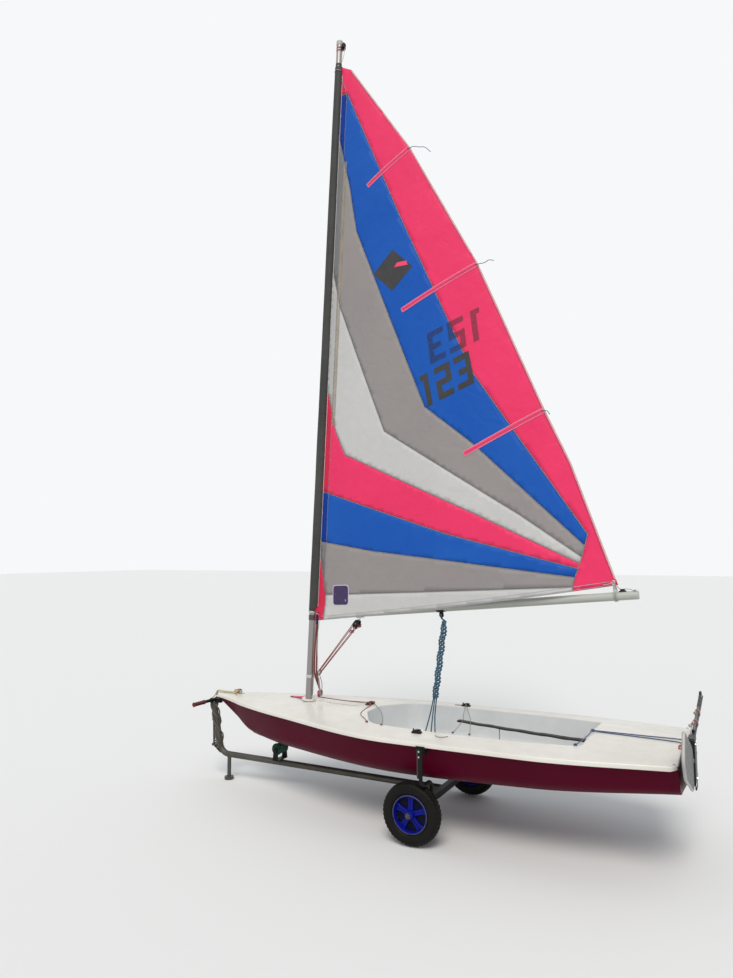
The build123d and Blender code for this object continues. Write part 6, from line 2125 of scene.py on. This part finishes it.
# The wheels have fat pneumatic tyres with a ribbed tread and blue moulded rims with five broad
# spokes. Each turns on a steel stub with a washer and a clip outside its hub.
tyre_black = surface(
    "tyre_rubber", rgb(0.0055, 0.0052, 0.0048), rgb(0.0095, 0.0088, 0.0078), fade_scale=7.0,
    worn=rgb(0.022, 0.020, 0.017), cover=0.28, worn_scale=18.0, dust=0.14,
    dust_colour=rgb(0.034, 0.029, 0.022), dust_scale=8.0, rough=(0.46, 0.66), grain=0.0004,
    grain_scale=260.0, mirror=0.12)
rim_blue = surface(
    "rim_blue", rgb(0.0030, 0.0060, 0.175), rgb(0.0040, 0.0090, 0.240), fade_scale=9.0,
    worn=rgb(0.012, 0.025, 0.150), cover=0.25, worn_scale=24.0, dust=0.05,
    dust_colour=rgb(0.03, 0.03, 0.06), rough=(0.30, 0.50), grain=0.0002, grain_scale=300.0, mirror=0.15)
# The rims' pockets are closed by a near-black disc between the spokes: painted shade, so that they read as
# dark hollows. Its scuffs are dirt.
rim_pocket_shade = surface(
    "rim_pocket_painted_shade", rgb(0.0022, 0.0030, 0.026), rgb(0.0060, 0.0062, 0.014), fade_scale=16.0,
    worn=rgb(0.016, 0.014, 0.012), cover=0.4, worn_scale=30.0, rough=(0.5, 0.7), grain=0.0004,
    grain_scale=260.0, mirror=0.10)
worn_grey = surface("rim_worn_edge", rgb(0.048, 0.050, 0.062), rgb(0.018, 0.020, 0.050), fade_scale=30.0,
                    rough=(0.45, 0.65), grain=0.0003, grain_scale=300.0)
wheel_s, wheel_z, track_half = 2.050, 0.200, 0.560
spokes, spoke_turn = 5, 72
wheel_r = 0.200
TYRE = [
    (0.1242, 0.030), (0.1262, 0.0350), (0.1300, 0.0400), (0.1360, 0.0440), (0.1400, 0.0446),
    (0.1410, 0.0462), (0.1440, 0.0464), (0.1450, 0.0470), (0.1560, 0.0492), (0.1650, 0.0496),
    (0.1730, 0.0480), (0.1750, 0.0487), (0.1790, 0.0476), (0.1800, 0.0455)]
TREAD = [
    (0.1840, 0.0430), (0.1875, 0.0395), (0.1905, 0.0350), (0.1930, 0.0300), (0.1950, 0.0245),
    (0.1966, 0.0190), (0.1975, 0.0130), (0.1980, 0.0065), (0.1981, 0.0)]
for name, side in (("port", 1), ("starboard", -1)):
    middle = place(wheel_s, side * track_half, wheel_z)

    def around_hub(radius, out, turn, middle=middle, side=side):
        """A place on the wheel: distance from the hub's line, distance outboard and angle."""
        return middle + Vector((radius * math.cos(turn) * side, out * side, radius * math.sin(turn)))

    def turned(profile, steps):
        """A profile of distance from the hub's line and distance outboard, turned round the hub."""
        return [[around_hub(r, x, 2 * math.pi * i / steps) for r, x in profile] for i in range(steps + 1)]

    half_line = TYRE + TREAD
    full = [(r, -x) for r, x in half_line] + [(r, x) for r, x in half_line[-2::-1]]
    tyre = Form()
    steps = 176
    rows = []
    for i in range(steps):
        turn = 2 * math.pi * i / steps
        row = []
        for r, x in full:
            if r > 0.183:
                block = (i // 2 + (1 if x > 0 else 0)) % 2 == 0 and abs(x) > 0.016
                groove = abs(abs(x) - 0.0130) < 0.004
                r = r - (0.0042 if groove else 0.0) - (0.0034 if block else 0.0)
                r = r + 0.0018
            row.append(around_hub(min(r, wheel_r - 0.0002), x, turn))
        rows.append(row)
    rows.append(rows[0])
    tyre.rows(rows, flip=True)
    tyre_piece = tyre.piece(name + "_treaded_tyre", tyre_black, name + "_wheel", "tyre_rubber", crease=32)
    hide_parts(name + "_tyre")

    rim = Form()
    lathe = [
        (0.1100, 0.034), (0.1130, 0.0385), (0.1180, 0.0395), (0.1225, 0.0375), (0.1236, 0.0330),
        (0.1238, 0.0250), (0.1238, 0.0), (0.1238, -0.0250), (0.1236, -0.0330), (0.1225, -0.0375),
        (0.1180, -0.0395), (0.1130, -0.0385), (0.1100, -0.034), (0.1085, -0.020), (0.1085, 0.0),
        (0.1085, 0.020)]
    rim.rows(turned(lathe, 120), around=True)
    barrel = [
        (0.0105, 0.0575), (0.0200, 0.0578), (0.0255, 0.0560), (0.0280, 0.0520), (0.0292, 0.0440),
        (0.0300, 0.0300), (0.0305, 0.0), (0.0300, -0.0300), (0.0292, -0.0440), (0.0280, -0.0520),
        (0.0255, -0.0560), (0.0200, -0.0578), (0.0105, -0.0575)]
    rim.rows(turned(barrel, 60), around=True)
    for i in range(spokes):
        turn = math.radians(90 + spoke_turn * i)
        way = around_hub(1, 0, turn) - middle
        across = around_hub(1, 0, turn + math.pi / 2) - middle
        out = Vector((0, side, 0))
        for face in (-1, 1):
            rows = []
            for share in span(0, 1, 9):
                reach = 0.026 + share * 0.086
                half = 0.0150 + 0.0100 * abs(share - 0.25) ** 1.4 + 0.007 * eased(0.7, 1.0, share)
                high = 0.0150 + 0.012 * (1 - share)
                section = (
                    (-1.0, 0.000), (-1.0, high - 0.003), (-0.86, high), (-0.35, high - 0.0005),
                    (-0.28, high - 0.006), (0.28, high - 0.006), (0.35, high - 0.0005), (0.86, high),
                    (1.0, high - 0.003), (1.0, 0.000))
                rows.append([middle + way * reach + across * a * half + out * b * face for a, b in section])
            rim.rows(rows, flip=(side * face) > 0)
    # A thin near-black disc between the spokes, painted shade in the rim's pockets.
    shade_disc = Form()
    for face in (-1, 1):
        shade_disc.rows(turned([(r, 0.0030 * face) for r in (0.0290, 0.0500, 0.0800, 0.1090)], 60), flip=face < 0)
    shade_disc.piece(name + "_rim_shade_disc", rim_pocket_shade, name + "_wheel", "rim_plastic", crease=34)
    rim_piece = rim.piece(name + "_spoked_rim", rim_blue, name + "_wheel", "rim_plastic", crease=34)
    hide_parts(name + "_rim")

    edge_ring, hub_bits = Form(), Form()
    edge_ring.rows(turned([(0.1150, 0.0394), (0.1165, 0.0401), (0.1205, 0.0398), (0.1222, 0.0384)], 120))
    edge_ring.piece(name + "_rim_edge", worn_grey, name + "_wheel", crease=50)
    out = Vector((0, side, 0))
    for i in range(spokes):
        turn = math.radians(90 + spoke_turn * i + spoke_turn / 2)
        spot = around_hub(0.1165, 0.0402, turn)
        raised(hub_bits, disc(0.0042, 12), spot, to_bow * -side, deck_up, 0.0020, 0.0006)
    valve = around_hub(0.098, 0.010, math.radians(90 + spoke_turn * 3 + spoke_turn / 2))
    from_hub = (valve - middle).normalized()
    rope(hub_bits, [valve, valve + out * 0.016 - from_hub * 0.010, valve + out * 0.034 - from_hub * 0.014],
         0.0036, step=0.006, sides=10)
    hub_bits.piece(name + "_wheel_bits", black_plastic, name + "_wheel", "black_fittings", crease=35)
hub_ends = Form()
for side in (-1, 1):
    rows = []
    for r, x in ((0.0045, 0.0720), (0.0078, 0.0732), (0.0098, 0.0722), (0.0102, 0.0700), (0.0102, 0.0600)):
        rows.append([
            place(wheel_s, 0, wheel_z) + Vector((r * math.cos(t), side * (track_half + x), r * math.sin(t)))
            for t in circle(24)])
    hub_ends.rows(rows, around=True, flip=side > 0)
    eyelet(hub_ends, place(wheel_s, side * (track_half + 0.0640), wheel_z), to_port, 0.0150, 0.0030)
hub_ends.piece("axle_ends", steel, "root", "galvanised", crease=35)
